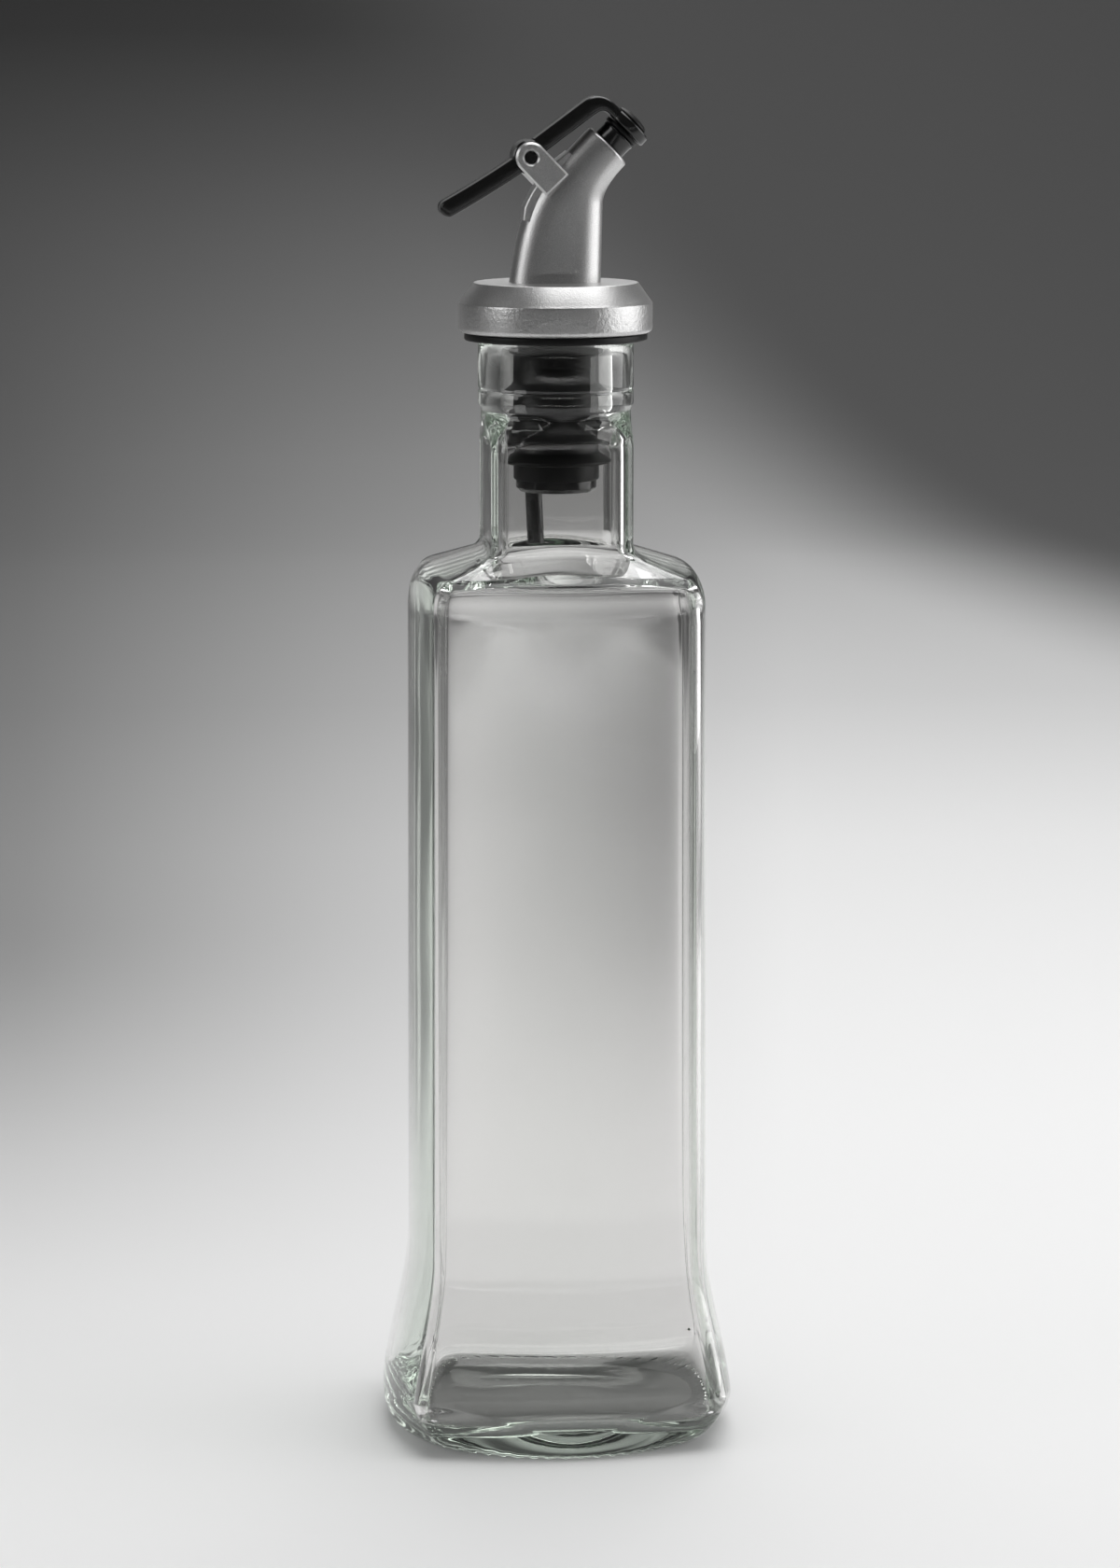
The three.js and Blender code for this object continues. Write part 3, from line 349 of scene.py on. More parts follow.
@dataclass(frozen=True)
class SilverPaint:
    """Satin silver coating with a fine grain, and orange peel on the collar's side."""

    tone: float = 0.60
    roughness: float = 0.34
    metal: float = 0.92
    warmth: float = 0.004
    fleck: Grain = Grain(5200.0, 1.0, 0.5)
    fleck_range: tuple[float, float] = (0.3, 0.75)
    fleck_tones: tuple[float, float] = (0.86, 1.1)
    fleck_roughness: float = 0.14
    cloud: Grain = Grain(160.0, 3.0, 0.6)
    cloud_share: float = 0.35
    cloud_tone: float = 0.92
    cloud_roughness: float = 0.08
    peel: Grain = Grain(1250.0, 2.0, 0.55)
    peel_start: tuple[float, float] = (0.2237, 0.2245)
    peel_end: tuple[float, float] = (0.2299, 0.2309)
    peel_share: float = 0.55
    grain: Grain = Grain(3000.0, 2.0, 0.6)
    grain_share: float = 0.25
    relief_height: float = 0.00016

    def material(self) -> bpy.types.Material:
        """Makes a metallic coat whose grain, flecks and orange peel come from noise.

        Returns:
            The material.
        """
        graph = Graph("silver_paint_finish")
        fleck = graph.noise(self.fleck)
        cloud = graph.noise(self.cloud)
        height = graph.axis("Z")
        band = graph.step(height, *self.peel_start) * (1 - graph.step(height, *self.peel_end))
        peel = graph.noise(self.peel) * band
        relief = graph.noise(self.grain) * self.grain_share + peel * self.peel_share
        dull, bright = (grey(self.tone * tone, self.warmth) for tone in self.fleck_tones)
        colour = graph.blend(graph.step(fleck, *self.fleck_range), dull, bright)
        shader = graph.add("ShaderNodeBsdfPrincipled", {}, {
            "Base Color": graph.blend(cloud * self.cloud_share, colour, grey(self.tone * self.cloud_tone)),
            "Metallic": self.metal,
            "Roughness": self.roughness + (fleck - 0.5) * self.fleck_roughness
            + (cloud - 0.5) * self.cloud_roughness,
            "Normal": graph.bump(relief, self.relief_height)})
        return graph.finish(shader)


@dataclass(frozen=True)
class BlackMoulding:
    """Black moulded piece: semi-gloss plastic or matte rubber."""

    name: str
    tone: float
    roughness: float
    grain: Grain
    grain_height: float
    specular: float
    grain_roughness: float = 0.1
    grain_strength: float = 0.6
    smudge: Grain = Grain(140.0, 4.0, 0.65)
    smudge_range: tuple[float, float] = (0.45, 0.75)
    worn_tone: float = 1.5
    worn_roughness: float = 0.08

    def material(self) -> bpy.types.Material:
        """Makes near black with a moulded grain and faint handling marks.

        Returns:
            The material.
        """
        graph = Graph(self.name)
        grain = graph.noise(self.grain)
        worn = graph.step(graph.noise(self.smudge), *self.smudge_range)
        shader = graph.add("ShaderNodeBsdfPrincipled", {}, {
            "Base Color": graph.blend(worn, grey(self.tone), grey(self.tone * self.worn_tone)),
            "Roughness": self.roughness + worn * self.worn_roughness + (grain - 0.5) * self.grain_roughness,
            "Specular IOR Level": self.specular,
            "Normal": graph.bump(grain, self.grain_height, self.grain_strength)})
        return graph.finish(shader)


@dataclass(frozen=True)
class DrawnSteel:
    """Bright drawn spring wire."""

    tone: float = 0.6
    dull_tone: float = 0.48
    warmth: float = 0.02
    roughness: float = 0.22
    marks: Grain = Grain(2400.0, 2.0, 0.6)
    marks_roughness: float = 0.18
    marks_height: float = 0.00002

    def material(self) -> bpy.types.Material:
        """Makes steel with fine draw marks.

        Returns:
            The material.
        """
        graph = Graph("spring_steel_finish")
        marks = graph.noise(self.marks)
        dull, bright = grey(self.dull_tone, self.warmth), grey(self.tone, self.warmth)
        shader = graph.add("ShaderNodeBsdfPrincipled", {}, {
            "Base Color": graph.blend(marks, dull, bright),
            "Metallic": 1.0,
            "Roughness": self.roughness + marks * self.marks_roughness,
            "Normal": graph.bump(marks, self.marks_height)})
        return graph.finish(shader)


@dataclass(frozen=True)
class SweepPaper:
    """Matte paper of the floor and backdrop, with painted light and shade: a painted pool of light round the
    object, painted shade at its left, behind and in front, and a painted shadow up to the right.
    """

    side: tuple[float, float, float] = (0.994, -0.110, 0.0)
    depth: tuple[float, float] = (-0.2, 2.7)
    # Painted shade: the paper's tone goes from pale near the object to dark at the back and up the wall,
    # standing in for the light's fall-off.
    fall: Sequence[tuple[float, float]] = (
        (0.0, 0.92), (0.16, 0.91), (0.31, 0.84), (0.43, 0.70), (0.60, 0.64),
        (0.71, 0.53), (0.83, 0.31), (0.90, 0.19), (0.96, 0.10), (1.0, 0.08))
    stand: float = 1.07
    spread: float = 0.12
    # Painted light: a pool of light that widens to the right of the object, darker at its left, weaker far
    # back.
    painted_pool_ramp: Sequence[tuple[float, float]] = ((0.0, 0.30), (0.083, 0.36), (0.317, 0.64), (0.688, 1.0))
    painted_pool_depth: tuple[float, float] = (-0.08, 0.58)
    painted_pool_end: tuple[float, float] = (1.8, 2.7)
    painted_pool_fade: float = 0.45
    # Painted shadow: past a slanting edge up to the right, the paper takes one flat dark tone.
    painted_shadow_slant: float = 3.7
    painted_shadow_range: tuple[float, float] = (1.9, 2.65)
    painted_shadow_tone: float = 0.14
    surround: float = 0.5
    surround_range: tuple[float, float] = (0.45, 0.8)
    upper: float = 0.85
    upper_range: tuple[float, float] = (0.4, 0.75)
    # Painted shade: the floor in front of the object, out of view, is near black, standing in for the dark
    # studio on the camera's side.
    front: tuple[float, float] = (-0.62, -0.3)
    painted_front_shade: float = 0.07
    fibre: Grain = Grain(900.0, 3.0, 0.6)
    fibre_roughness: float = 0.1
    roughness: float = 0.9
    specular: float = 0.1

    def material(self) -> bpy.types.Material:
        """Makes diffuse paper with painted light: a painted pool of light that spreads out to the right, up to
        a slanting painted shadow edge, with painted shade behind and in front.

        Returns:
            The material.
        """
        graph = Graph("sweep_paper")
        across = graph.add("ShaderNodeVectorMath", {"operation": "DOT_PRODUCT"},
                           {0: graph.coordinates(), 1: self.side}, "Value")
        height = graph.axis("Z")
        near, far = self.depth
        back = graph.clamp(graph.axis("Y") + height, near, far)
        # Painted shade, darker towards the back and up the wall.
        tone = graph.ramp((back - near) / (far - near), self.fall)
        column = graph.clamp(across / (back + self.stand), -self.spread, self.spread)
        # Painted pool of light, brighter to the right and darker to the left.
        painted_pool_ramp = graph.ramp((column + self.spread) / (2 * self.spread), self.painted_pool_ramp)
        faded = 1 - graph.step(back, *self.painted_pool_end) * self.painted_pool_fade
        pool = 1 - (1 - painted_pool_ramp) * graph.step(back, *self.painted_pool_depth) * faded
        # Where the painted shadow begins, along a slanting edge.
        edge = graph.step(back + across * self.painted_shadow_slant, *self.painted_shadow_range)
        outside = graph.step(abs(across), *self.surround_range)
        above = graph.step(height, *self.upper_range)
        # Painted shade in front of the object.
        front = graph.step(graph.axis("Y"), *self.front)
        # Painted fall-off and painted pool of light, with the painted shadow past the slanting edge.
        seen = tone * pool * (1 - edge) + edge * self.painted_shadow_tone
        fibre = graph.noise(self.fibre)
        # Beyond the view the sides are plain grey and the wall is pale up high; in front the paper takes the
        # painted shade.
        behind = graph.blend(above, graph.blend(outside, seen, grey(self.surround)), grey(self.upper))
        shader = graph.add("ShaderNodeBsdfPrincipled", {}, {
            "Base Color": graph.blend(front, grey(self.painted_front_shade), behind),
            "Roughness": self.roughness + (fibre - 0.5) * self.fibre_roughness,
            "Specular IOR Level": self.specular})
        return graph.finish(shader)


class Finishes:
    """The object's materials, each made once."""

    def __init__(self) -> None:
        """Makes every material of the record's slots."""
        plastic = BlackMoulding("black_plastic_finish", tone=0.005, roughness=0.18, specular=0.6,
                                grain=Grain(2600.0, 3.0, 0.6), grain_height=0.00002)
        rubber = BlackMoulding("black_rubber_finish", tone=0.004, roughness=0.42, specular=0.25,
                               grain=Grain(3400.0, 3.0, 0.6), grain_height=0.00004)
        self.by_slot: dict[Slot, bpy.types.Material] = {
            Slot.GLASS: ClearGlass().material(),
            Slot.SILVER: SilverPaint().material(),
            Slot.PLASTIC: plastic.material(),
            Slot.RUBBER: rubber.material(),
            Slot.STEEL: DrawnSteel().material(),
        }


class Workpiece:
    """A mesh in the making, in millimetres."""

    def __init__(self) -> None:
        """Starts an empty mesh."""
        self.mesh = bmesh.new()

    def lathe(self, profile: Profile, sides: int = 128, place: Matrix | None = None) -> "Workpiece":
        """Adds a profile turned about the Z axis.

        Args:
            profile: Points of radius and height; it is closed by the axis or by its own first point.
            sides: Number of steps round the axis.
            place: Where the turned shape goes.

        Returns:
            The workpiece itself.
        """
        turned = bmesh.new()
        verts = [turned.verts.new((radius, 0.0, height)) for radius, height in profile]
        edges = [turned.edges.new(pair) for pair in zip(verts, verts[1:]) if pair[0].co != pair[1].co]
        bmesh.ops.spin(turned, geom=verts + edges, cent=(0, 0, 0), axis=(0, 0, 1), dvec=(0, 0, 0),
                       angle=2 * math.pi, steps=sides, use_merge=True, use_duplicate=False)
        return self._take(turned, place)

    def loft(self, rings: Sequence[Ring], place: Matrix | None = None) -> "Workpiece":
        """Adds a skin through closed rings of equal count; a ring of one place closes an end.

        Args:
            rings: Rings of points in order.
            place: Where the skin goes.

        Returns:
            The workpiece itself.
        """
        count = len(rings[0])
        skin = bmesh.new()
        bmesh.ops.create_grid(skin, x_segments=count, y_segments=len(rings) - 1, size=1.0)
        skin.verts.ensure_lookup_table()
        for row, ring in enumerate(rings):
            for column in range(count + 1):
                skin.verts[row * (count + 1) + column].co = ring[column % count]
        return self._take(skin, place)

    def _take(self, part: bmesh.types.BMesh, place: Matrix | None) -> "Workpiece":
        """Closes a part, turns its faces outwards and joins it to the workpiece.

        Args:
            part: The part, which is used up.
            place: Where it goes.

        Returns:
            The workpiece itself.
        """
        bmesh.ops.remove_doubles(part, verts=part.verts, dist=MERGE_DISTANCE)
        bmesh.ops.dissolve_degenerate(part, edges=part.edges, dist=SLIVER_LENGTH)
        bmesh.ops.recalc_face_normals(part, faces=part.faces)
        if place:
            part.transform(place)
        scratch = bpy.data.meshes.new("scratch")
        part.to_mesh(scratch)
        part.free()
        self.mesh.from_mesh(scratch)
        bpy.data.meshes.remove(scratch)
        return self

    def deliver(self, name: str, node: str, body: Body, slot: Slot, finishes: Finishes,
                sharp: float = 35.0) -> bpy.types.Object:
        """Makes the workpiece an object that stands for a CAD node.

        Args:
            name: Name of the object.
            node: CAD node that it stands for.
            body: Body that it rides on.
            slot: Material slot that it takes its finish from.
            finishes: The materials.
            sharp: Edges steeper than this many degrees stay crisp.

        Returns:
            The object.
        """
        self.mesh.transform(Matrix.Scale(MM, 4))
        data = bpy.data.meshes.new(name)
        self.mesh.to_mesh(data)
        self.mesh.free()
        data.shade_smooth()
        data.set_sharp_from_angle(angle=math.radians(sharp))
        data.materials.append(finishes.by_slot[slot])
        piece = bpy.data.objects.new(name, data)
        bpy.context.scene.collection.objects.link(piece)
        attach(piece, body.value)
        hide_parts(node)
        LOG.info("%s: %d faces on %s", name, len(data.polygons), body.value)
        return piece


@dataclass(frozen=True)
class Section:
    """A square outline with curved faces and rounded corners.

    Attributes:
        half: From the axis to the middle of a face.
        corner: Radius of a corner.
        panel: Radius of a face's curve.
        soft: 0 where faces and corners meet as arcs, 1 where the faces run softly into the corners.
        power: How tight the corners of soft faces are.
    """

    half: float
    corner: float
    panel: float
    soft: float = 0.0
    power: float = 16.0

    def reach(self, angle: float) -> float:
        """Measures from the axis to the outline.

        Args:
            angle: Direction round the axis.

        Returns:
            The distance.
        """
        cosine = max(abs(math.cos(angle)), abs(math.sin(angle)))
        sine = min(abs(math.cos(angle)), abs(math.sin(angle)))
        return lerp(self._crisp(cosine, sine), self._blown(cosine, sine), self.soft)

    def _blown(self, cosine: float, sine: float) -> float:
        """Measures to an outline whose faces run into its corners without an edge, as blown glass has.

        Args:
            cosine: Share of the direction towards the nearest face.
            sine: Share of the direction along that face.

        Returns:
            The distance.
        """
        near = self._face(cosine, sine)
        far = self._face(sine, cosine)
        return (near ** -self.power + far ** -self.power) ** (-1 / self.power)

    def _face(self, cosine: float, sine: float) -> float:
        """Distance to one curved face."""
        back = self.panel - self.half
        return math.sqrt(self.panel ** 2 - (back * sine) ** 2) - back * cosine

    def _crisp(self, cosine: float, sine: float) -> float:
        """Measures to an outline of face and corner arcs.

        Args:
            cosine: Share of the direction towards the nearest face.
            sine: Share of the direction along that face.

        Returns:
            The distance.
        """
        back = self.panel - self.half
        span = self.panel - self.corner
        centre = (math.sqrt(2 * span ** 2 - back ** 2) - back) / 2
        across = self.panel / span * centre
        out = self.panel / span * (centre + back) - back
        if sine * out <= cosine * across:
            return self._face(cosine, sine)
        total = cosine + sine
        return centre * total + math.sqrt(max(0.0, self.corner ** 2 - centre ** 2 * (2 - total ** 2)))

    def towards(self, other: "Section", share: float) -> "Section":
        """Section between this one and another, with an even change of the faces' curvature."""
        return Section(lerp(self.half, other.half, share), lerp(self.corner, other.corner, share),
                       1 / lerp(1 / self.panel, 1 / other.panel, share), lerp(self.soft, other.soft, share))


@dataclass
class Bottle:
    """Square glass bottle: knurled bearing ring, flared foot, body, shoulder, neck and round finish."""

    bearing_radius: float = 32.7
    bearing_width: float = 6.5
    punt_rise: float = 0.3
    punt_flat: float = 0.3
    heel_height: float = 5.3
    heel_corner_height: float = 11.5
    heel_fullness: float = 1.5
    heel_steps: Sequence[float] = (0, 0.06, 0.12, 0.2, 0.3, 0.4, 0.5, 0.6, 0.7, 0.8, 0.88, 0.94, 0.98, 1)
    face_steps: Sequence[float] = (0.008, 0.02, 0.05)
    face_start: float = 0.06
    foot: Section = Section(35.6, 2.4, 140.0)
    flare_base: float = 3.0
    flare_top: float = 40.0
    body_base: Section = Section(30.3, 2.0, 95.0)
    body_top_half: float = 29.8
    body_top: float = 168.5
    shoulder_rise: float = 10.1
    shoulder_run: float = 5.3
    shoulder_slope: float = math.tan(math.radians(17.2))
    shoulder_droop: float = 1.5
    neck_base: Section = Section(14.3, 2.6, 1e5)
    neck_fillet: float = 1.3
    neck_top_radius: float = 15.1
    rounding_height: float = 6.0
    finish_radius: float = 15.65
    finish_top: float = 222.8226
    finish_height: float = 14.0
    finish_steps: Profile = (
        (0.43, 0.25), (0.3, 0.8), (0.08, 1.2), (0.0, 1.7), (0.0, 3.7), (0.08, 3.95), (0.2, 4.15),
        (0.2, 4.4), (0.06, 4.6), (0.0, 4.9), (0.0, 9.0))
    finish_edge: float = 0.9
    bore: float = 11.25
    mouth_steps: Profile = ((0.6, 0.0), (0.18, 0.18), (0.0, 0.6))
    wall: float = 2.75
    inner_corner: float = 5.0
    blown: float = 1.0
    flatter: float = 6.0
    inner_neck: Section = Section(12.4, 1.6, 1e5)
    inner_fillet: float = 3.0
    inner_slope_steps: Sequence[float] = (0.33, 0.67)
    floor_thickness: float = 4.6
    floor_dish: float = 0.05
    floor_edge: float = 5.5
    inner_shoulder: float = 2.6
    wave: float = 0.09
    neck_wave: float = 0.03
    wave_width: float = 11.0
    wave_height: float = 26.0
    knurls: int = 64
    knurl_height: float = 0.4
    knurl_width: float = 1.6
    knurl_fade: float = 3.2
    knurl_edges: tuple[float, float] = (-0.5, 0.6)
    steps: int = 448
    corner_pull: float = 0.72
    angles: list[float] = field(init=False)

    def __post_init__(self) -> None:
        """Works out the directions round the axis, closer together at the corners."""
        even = [2 * math.pi * step / self.steps for step in range(self.steps)]
        self.angles = [turn + self.corner_pull / 4 * math.sin(4 * turn) for turn in even]

    def _ring(self, reach: Callable[[float], float], level: Callable[[float], float]) -> Ring:
        """Ring whose distance and height are functions of the direction."""
        return [Vector((reach(a) * math.cos(a), reach(a) * math.sin(a), level(a))) for a in self.angles]

    def _round(self, radius: float, level: float) -> Ring:
        """Level round ring."""
        return self._ring(lambda angle: radius, lambda angle: level)

    @staticmethod
    def _cornered(angle: float) -> float:
        """0 towards the middle of a face, 1 towards a corner."""
        return (1 - math.cos(4 * angle)) / 2

    def _square(self, section: Section, level: float, droop: float = 0.0, wave: float = 0.0) -> Ring:
        """Makes the ring of a section.

        Args:
            section: Outline of the ring.
            level: Height of the ring.
            droop: How much lower its corners are.
            wave: How uneven its faces are.

        Returns:
            The ring.
        """
        scale = section.half / self.wave_width

        def reach(angle: float) -> float:
            """Distance from the axis."""
            place = Vector((scale * math.cos(angle), scale * math.sin(angle), level / self.wave_height))
            return section.reach(angle) + wave * noise.noise(place)

        return self._ring(reach, lambda angle: level - droop * self._cornered(angle))

    def _groove(self, angle: float) -> float:
        """How deep the knurl's groove is in a direction, 0 on a ridge and 1 in a groove."""
        return smoothstep(math.cos(self.knurls * angle), *self.knurl_edges)

    def _flare(self, level: float) -> Section:
        """Section of the flared foot at a level."""
        return self.foot.towards(self.body_base, smoothstep(level, self.flare_base, self.flare_top))

    def _heel_top(self, angle: float) -> float:
        """Level where the heel meets the faces, higher under the corners."""
        return lerp(self.heel_height, self.heel_corner_height, self._cornered(angle))

    def _heel(self, fraction: float) -> Ring:
        """Makes a ring of the heel.

        Args:
            fraction: Place from the bearing ring at 0 to the foot's faces at 1.

        Returns:
            The ring.
        """
        turn = fraction * math.pi / 2
        outwards = math.sin(turn) ** (2 / self.heel_fullness)
        upwards = 1 - math.cos(turn) ** (2 / self.heel_fullness)
        lifted = max(0.0, 1 - fraction * self.knurl_fade) * self.knurl_height

        def reach(angle: float) -> float:
            """Distance from the axis."""
            return lerp(self.bearing_radius, self._flare(self._heel_top(angle)).reach(angle), outwards)

        return self._ring(reach, lambda angle: self._heel_top(angle) * upwards + lifted * self._groove(angle))

    def _face(self, fraction: float) -> Ring:
        """Makes a ring of the flared faces.

        Args:
            fraction: Place from the heel at 0 to the straight body at 1.

        Returns:
            The ring.
        """

        def level(angle: float) -> float:
            """Height of the ring."""
            return lerp(self._heel_top(angle), self.flare_top, fraction)

        return self._ring(lambda angle: self._flare(level(angle)).reach(angle), level)

    def _shoulder_level(self, half: float) -> float:
        """Height of the shoulder's sloping stretch at a half width."""
        edge_half = self.body_top_half - self.shoulder_run
        return self.body_top + self.shoulder_rise + (edge_half - half) * self.shoulder_slope

    def _inner_section(self, outer: Section) -> Section:
        """Section of the inside behind a section of the outside."""
        return Section(outer.half - self.wall, self.inner_corner, outer.panel * self.flatter, self.blown)

    def _inner_level(self, half: float) -> float:
        """Height of the inner shoulder's sloping stretch at a half width."""
        return self._shoulder_level(half) - self.wall * math.sqrt(1 + self.shoulder_slope ** 2)

    def _shoulder(self, path: Sequence[Vector], first: Section, last: Section,
                  droop: float, wave: float) -> list[Ring]:
        """Makes rings along a path, with corners and faces going from one section to another.

        Args:
            path: Half width and level of each ring.
            first: Section whose corners and faces the path begins with.
            last: Section whose corners and faces it ends with.
            droop: How much lower the corners are half way.
            wave: How uneven the faces are.

        Returns:
            The rings.
        """
        rings = []
        for share, place in zip(shares(len(path)), path):
            section = replace(first.towards(last, share), half=place.x)
            rings.append(self._square(section, place.y, droop * math.sin(math.pi * share), wave))
        return rings

    def _outside(self) -> list[Ring]:
        """Makes the outside, from the middle of the punt to the top of the finish.

        Returns:
            The rings.
        """
        inner = self.bearing_radius - self.bearing_width
        rings = [self._round(0.0, self.punt_rise)]
        for share in shares(24)[1:]:
            lift = self.punt_rise * (1 - smoothstep(share, self.punt_flat, 1.0))
            rings.append(self._round(share * inner, lift))
        rings.append(self._round(self.bearing_radius - self.knurl_width, 0.0))
        rings += [self._heel(fraction) for fraction in self.heel_steps]
        rings += [self._face(fraction) for fraction in self.face_steps]
        rings += [self._face(lerp(self.face_start, 1.0, share)) for share in shares(14)]
        top = replace(self.body_base, half=self.body_top_half)
        for share in shares(8)[1:-1]:
            level = lerp(self.flare_top, self.body_top, share)
            rings.append(self._square(self.body_base.towards(top, share), level))
        rings += self._shoulder(self._outer_shoulder_path(), top, self.neck_base, self.shoulder_droop, 0.0)
        return rings + self._neck() + self._finish()

    def _outer_shoulder_path(self) -> list[Vector]:
        """Draws the shoulder from the body's top to the neck's base.

        Returns:
            Half width and level of each ring.
        """
        level, half, neck = self._shoulder_level, self.body_top_half, self.neck_base.half
        edge, fillet = half - self.shoulder_run, neck + self.neck_fillet
        rise = (Vector((half, self.body_top)), Vector((half, level(half))), Vector((edge, level(edge))))
        turn = (Vector((fillet, level(fillet))), Vector((neck, level(neck))),
                Vector((neck, level(neck) + self.neck_fillet)))
        path = [bezier(rise, share) for share in shares(14)]
        path += [rise[2].lerp(turn[0], share) for share in shares(5)[1:-1]]
        return path + [bezier(turn, share) for share in shares(6)]

    def _neck(self) -> list[Ring]:
        """Makes the neck, square at its base and round under the finish.

        Returns:
            The rings.
        """
        base = self._shoulder_level(self.neck_base.half) + self.neck_fillet
        end = self.finish_top - self.finish_height
        top = Section(self.neck_top_radius, self.neck_top_radius, self.neck_base.panel)
        rings = []
        for share in shares(18)[1:]:
            level = lerp(base, end, share)
            rings.append(self._square(self.neck_base.towards(top, self._rounding(level)), level))
        return rings

    def _rounding(self, level: float) -> float:
        """How far the neck has turned from square to round at a level."""
        end = self.finish_top - self.finish_height
        return smoothstep(level, end - self.rounding_height, end)

    def _finish(self) -> list[Ring]:
        """Makes the round finish: step, bead, mould line, band and rounded top edge.

        Returns:
            The rings.
        """
        base, edge = self.finish_top - self.finish_height, self.finish_edge
        profile = [(self.finish_radius - inset, base + rise) for inset, rise in self.finish_steps]
        profile += list(arc((self.finish_radius - edge, self.finish_top - edge), edge, 0, 90, 6))
        return [self._round(*place) for place in profile]

    def _inside(self) -> list[Ring]:
        """Makes the inside, from the top of the bore to the middle of the floor.

        Returns:
            The rings.
        """
        neck = self.inner_neck
        bore = Section(self.bore, self.bore, neck.panel)
        first = self.finish_top - self.mouth_steps[-1][1]
        last = self._inner_level(neck.half) + self.inner_fillet
        rings = [self._round(self.bore + out, self.finish_top - down) for out, down in self.mouth_steps]
        for share in shares(18)[1:-1]:
            level = lerp(first, last, share)
            rings.append(self._square(neck.towards(bore, self._rounding(level)), level, 0.0, self.neck_wave))
        top = self._inner_section(replace(self.body_base, half=self.body_top_half))
        rings += self._shoulder(self._inner_shoulder_path(), neck, top, 0.0, self.wave)
        return rings + self._cavity(top)

    def _inner_shoulder_path(self) -> list[Vector]:
        """Draws the inside of the shoulder, from the neck's base to the body's top.

        Returns:
            Half width and level of each ring.
        """
        level, half, neck = self._inner_level, self.body_top_half - self.wall, self.inner_neck.half
        edge, fillet = half - self.inner_shoulder, neck + self.inner_fillet
        turn = (Vector((neck, level(neck) + self.inner_fillet)), Vector((neck, level(neck))),
                Vector((fillet, level(fillet))))
        fall = (Vector((edge, level(edge))), Vector((half, level(half))),
                Vector((half, level(half) - self.inner_shoulder)))
        path = [bezier(turn, share) for share in shares(8)]
        path += [turn[2].lerp(fall[0], share) for share in self.inner_slope_steps]
        return path + [bezier(fall, share) for share in shares(12)]

    def _cavity(self, top: Section) -> list[Ring]:
        """Makes the inner walls and the floor.

        Args:
            top: Section that the walls begin with, under the shoulder.

        Returns:
            The rings, from the shoulder down.
        """
        floor = self.punt_rise + self.floor_thickness
        base = floor - self.floor_dish + self.floor_edge
        start = self._inner_level(top.half) - self.inner_shoulder
        waist = self._inner_section(self.body_base)
        rings = []
        for share in shares(22)[1:]:
            level = lerp(start, self.flare_top, share)
            rings.append(self._square(top.towards(waist, share), level, 0.0, self.wave))
        for share in shares(14)[1:]:
            level = lerp(self.flare_top, base, share)
            rings.append(self._square(self._inner_section(self._flare(level)), level, 0.0, self.wave))
        low = self._inner_section(self._flare(base))
        for share in shares(9)[1:]:
            turn = share * math.pi / 2
            section = replace(low, half=low.half - self.floor_edge * (1 - math.cos(turn)))
            rings.append(self._square(section, base - self.floor_edge * math.sin(turn)))
        last = replace(low, half=low.half - self.floor_edge)
        for share in shares(8)[1:]:
            level = floor - self.floor_dish * (1 - share) ** 2
            rings.append(self._ring(lambda angle: last.reach(angle) * (1 - share), lambda angle: level))
        return rings

    def build(self, finishes: Finishes) -> None:
        """Makes the bottle of one closed skin."""
        skin = Workpiece().loft(self._outside() + self._inside())
        skin.deliver("bottle_glass", "glass_bottle", Body.BOTTLE, Slot.GLASS, finishes, sharp=50.0)


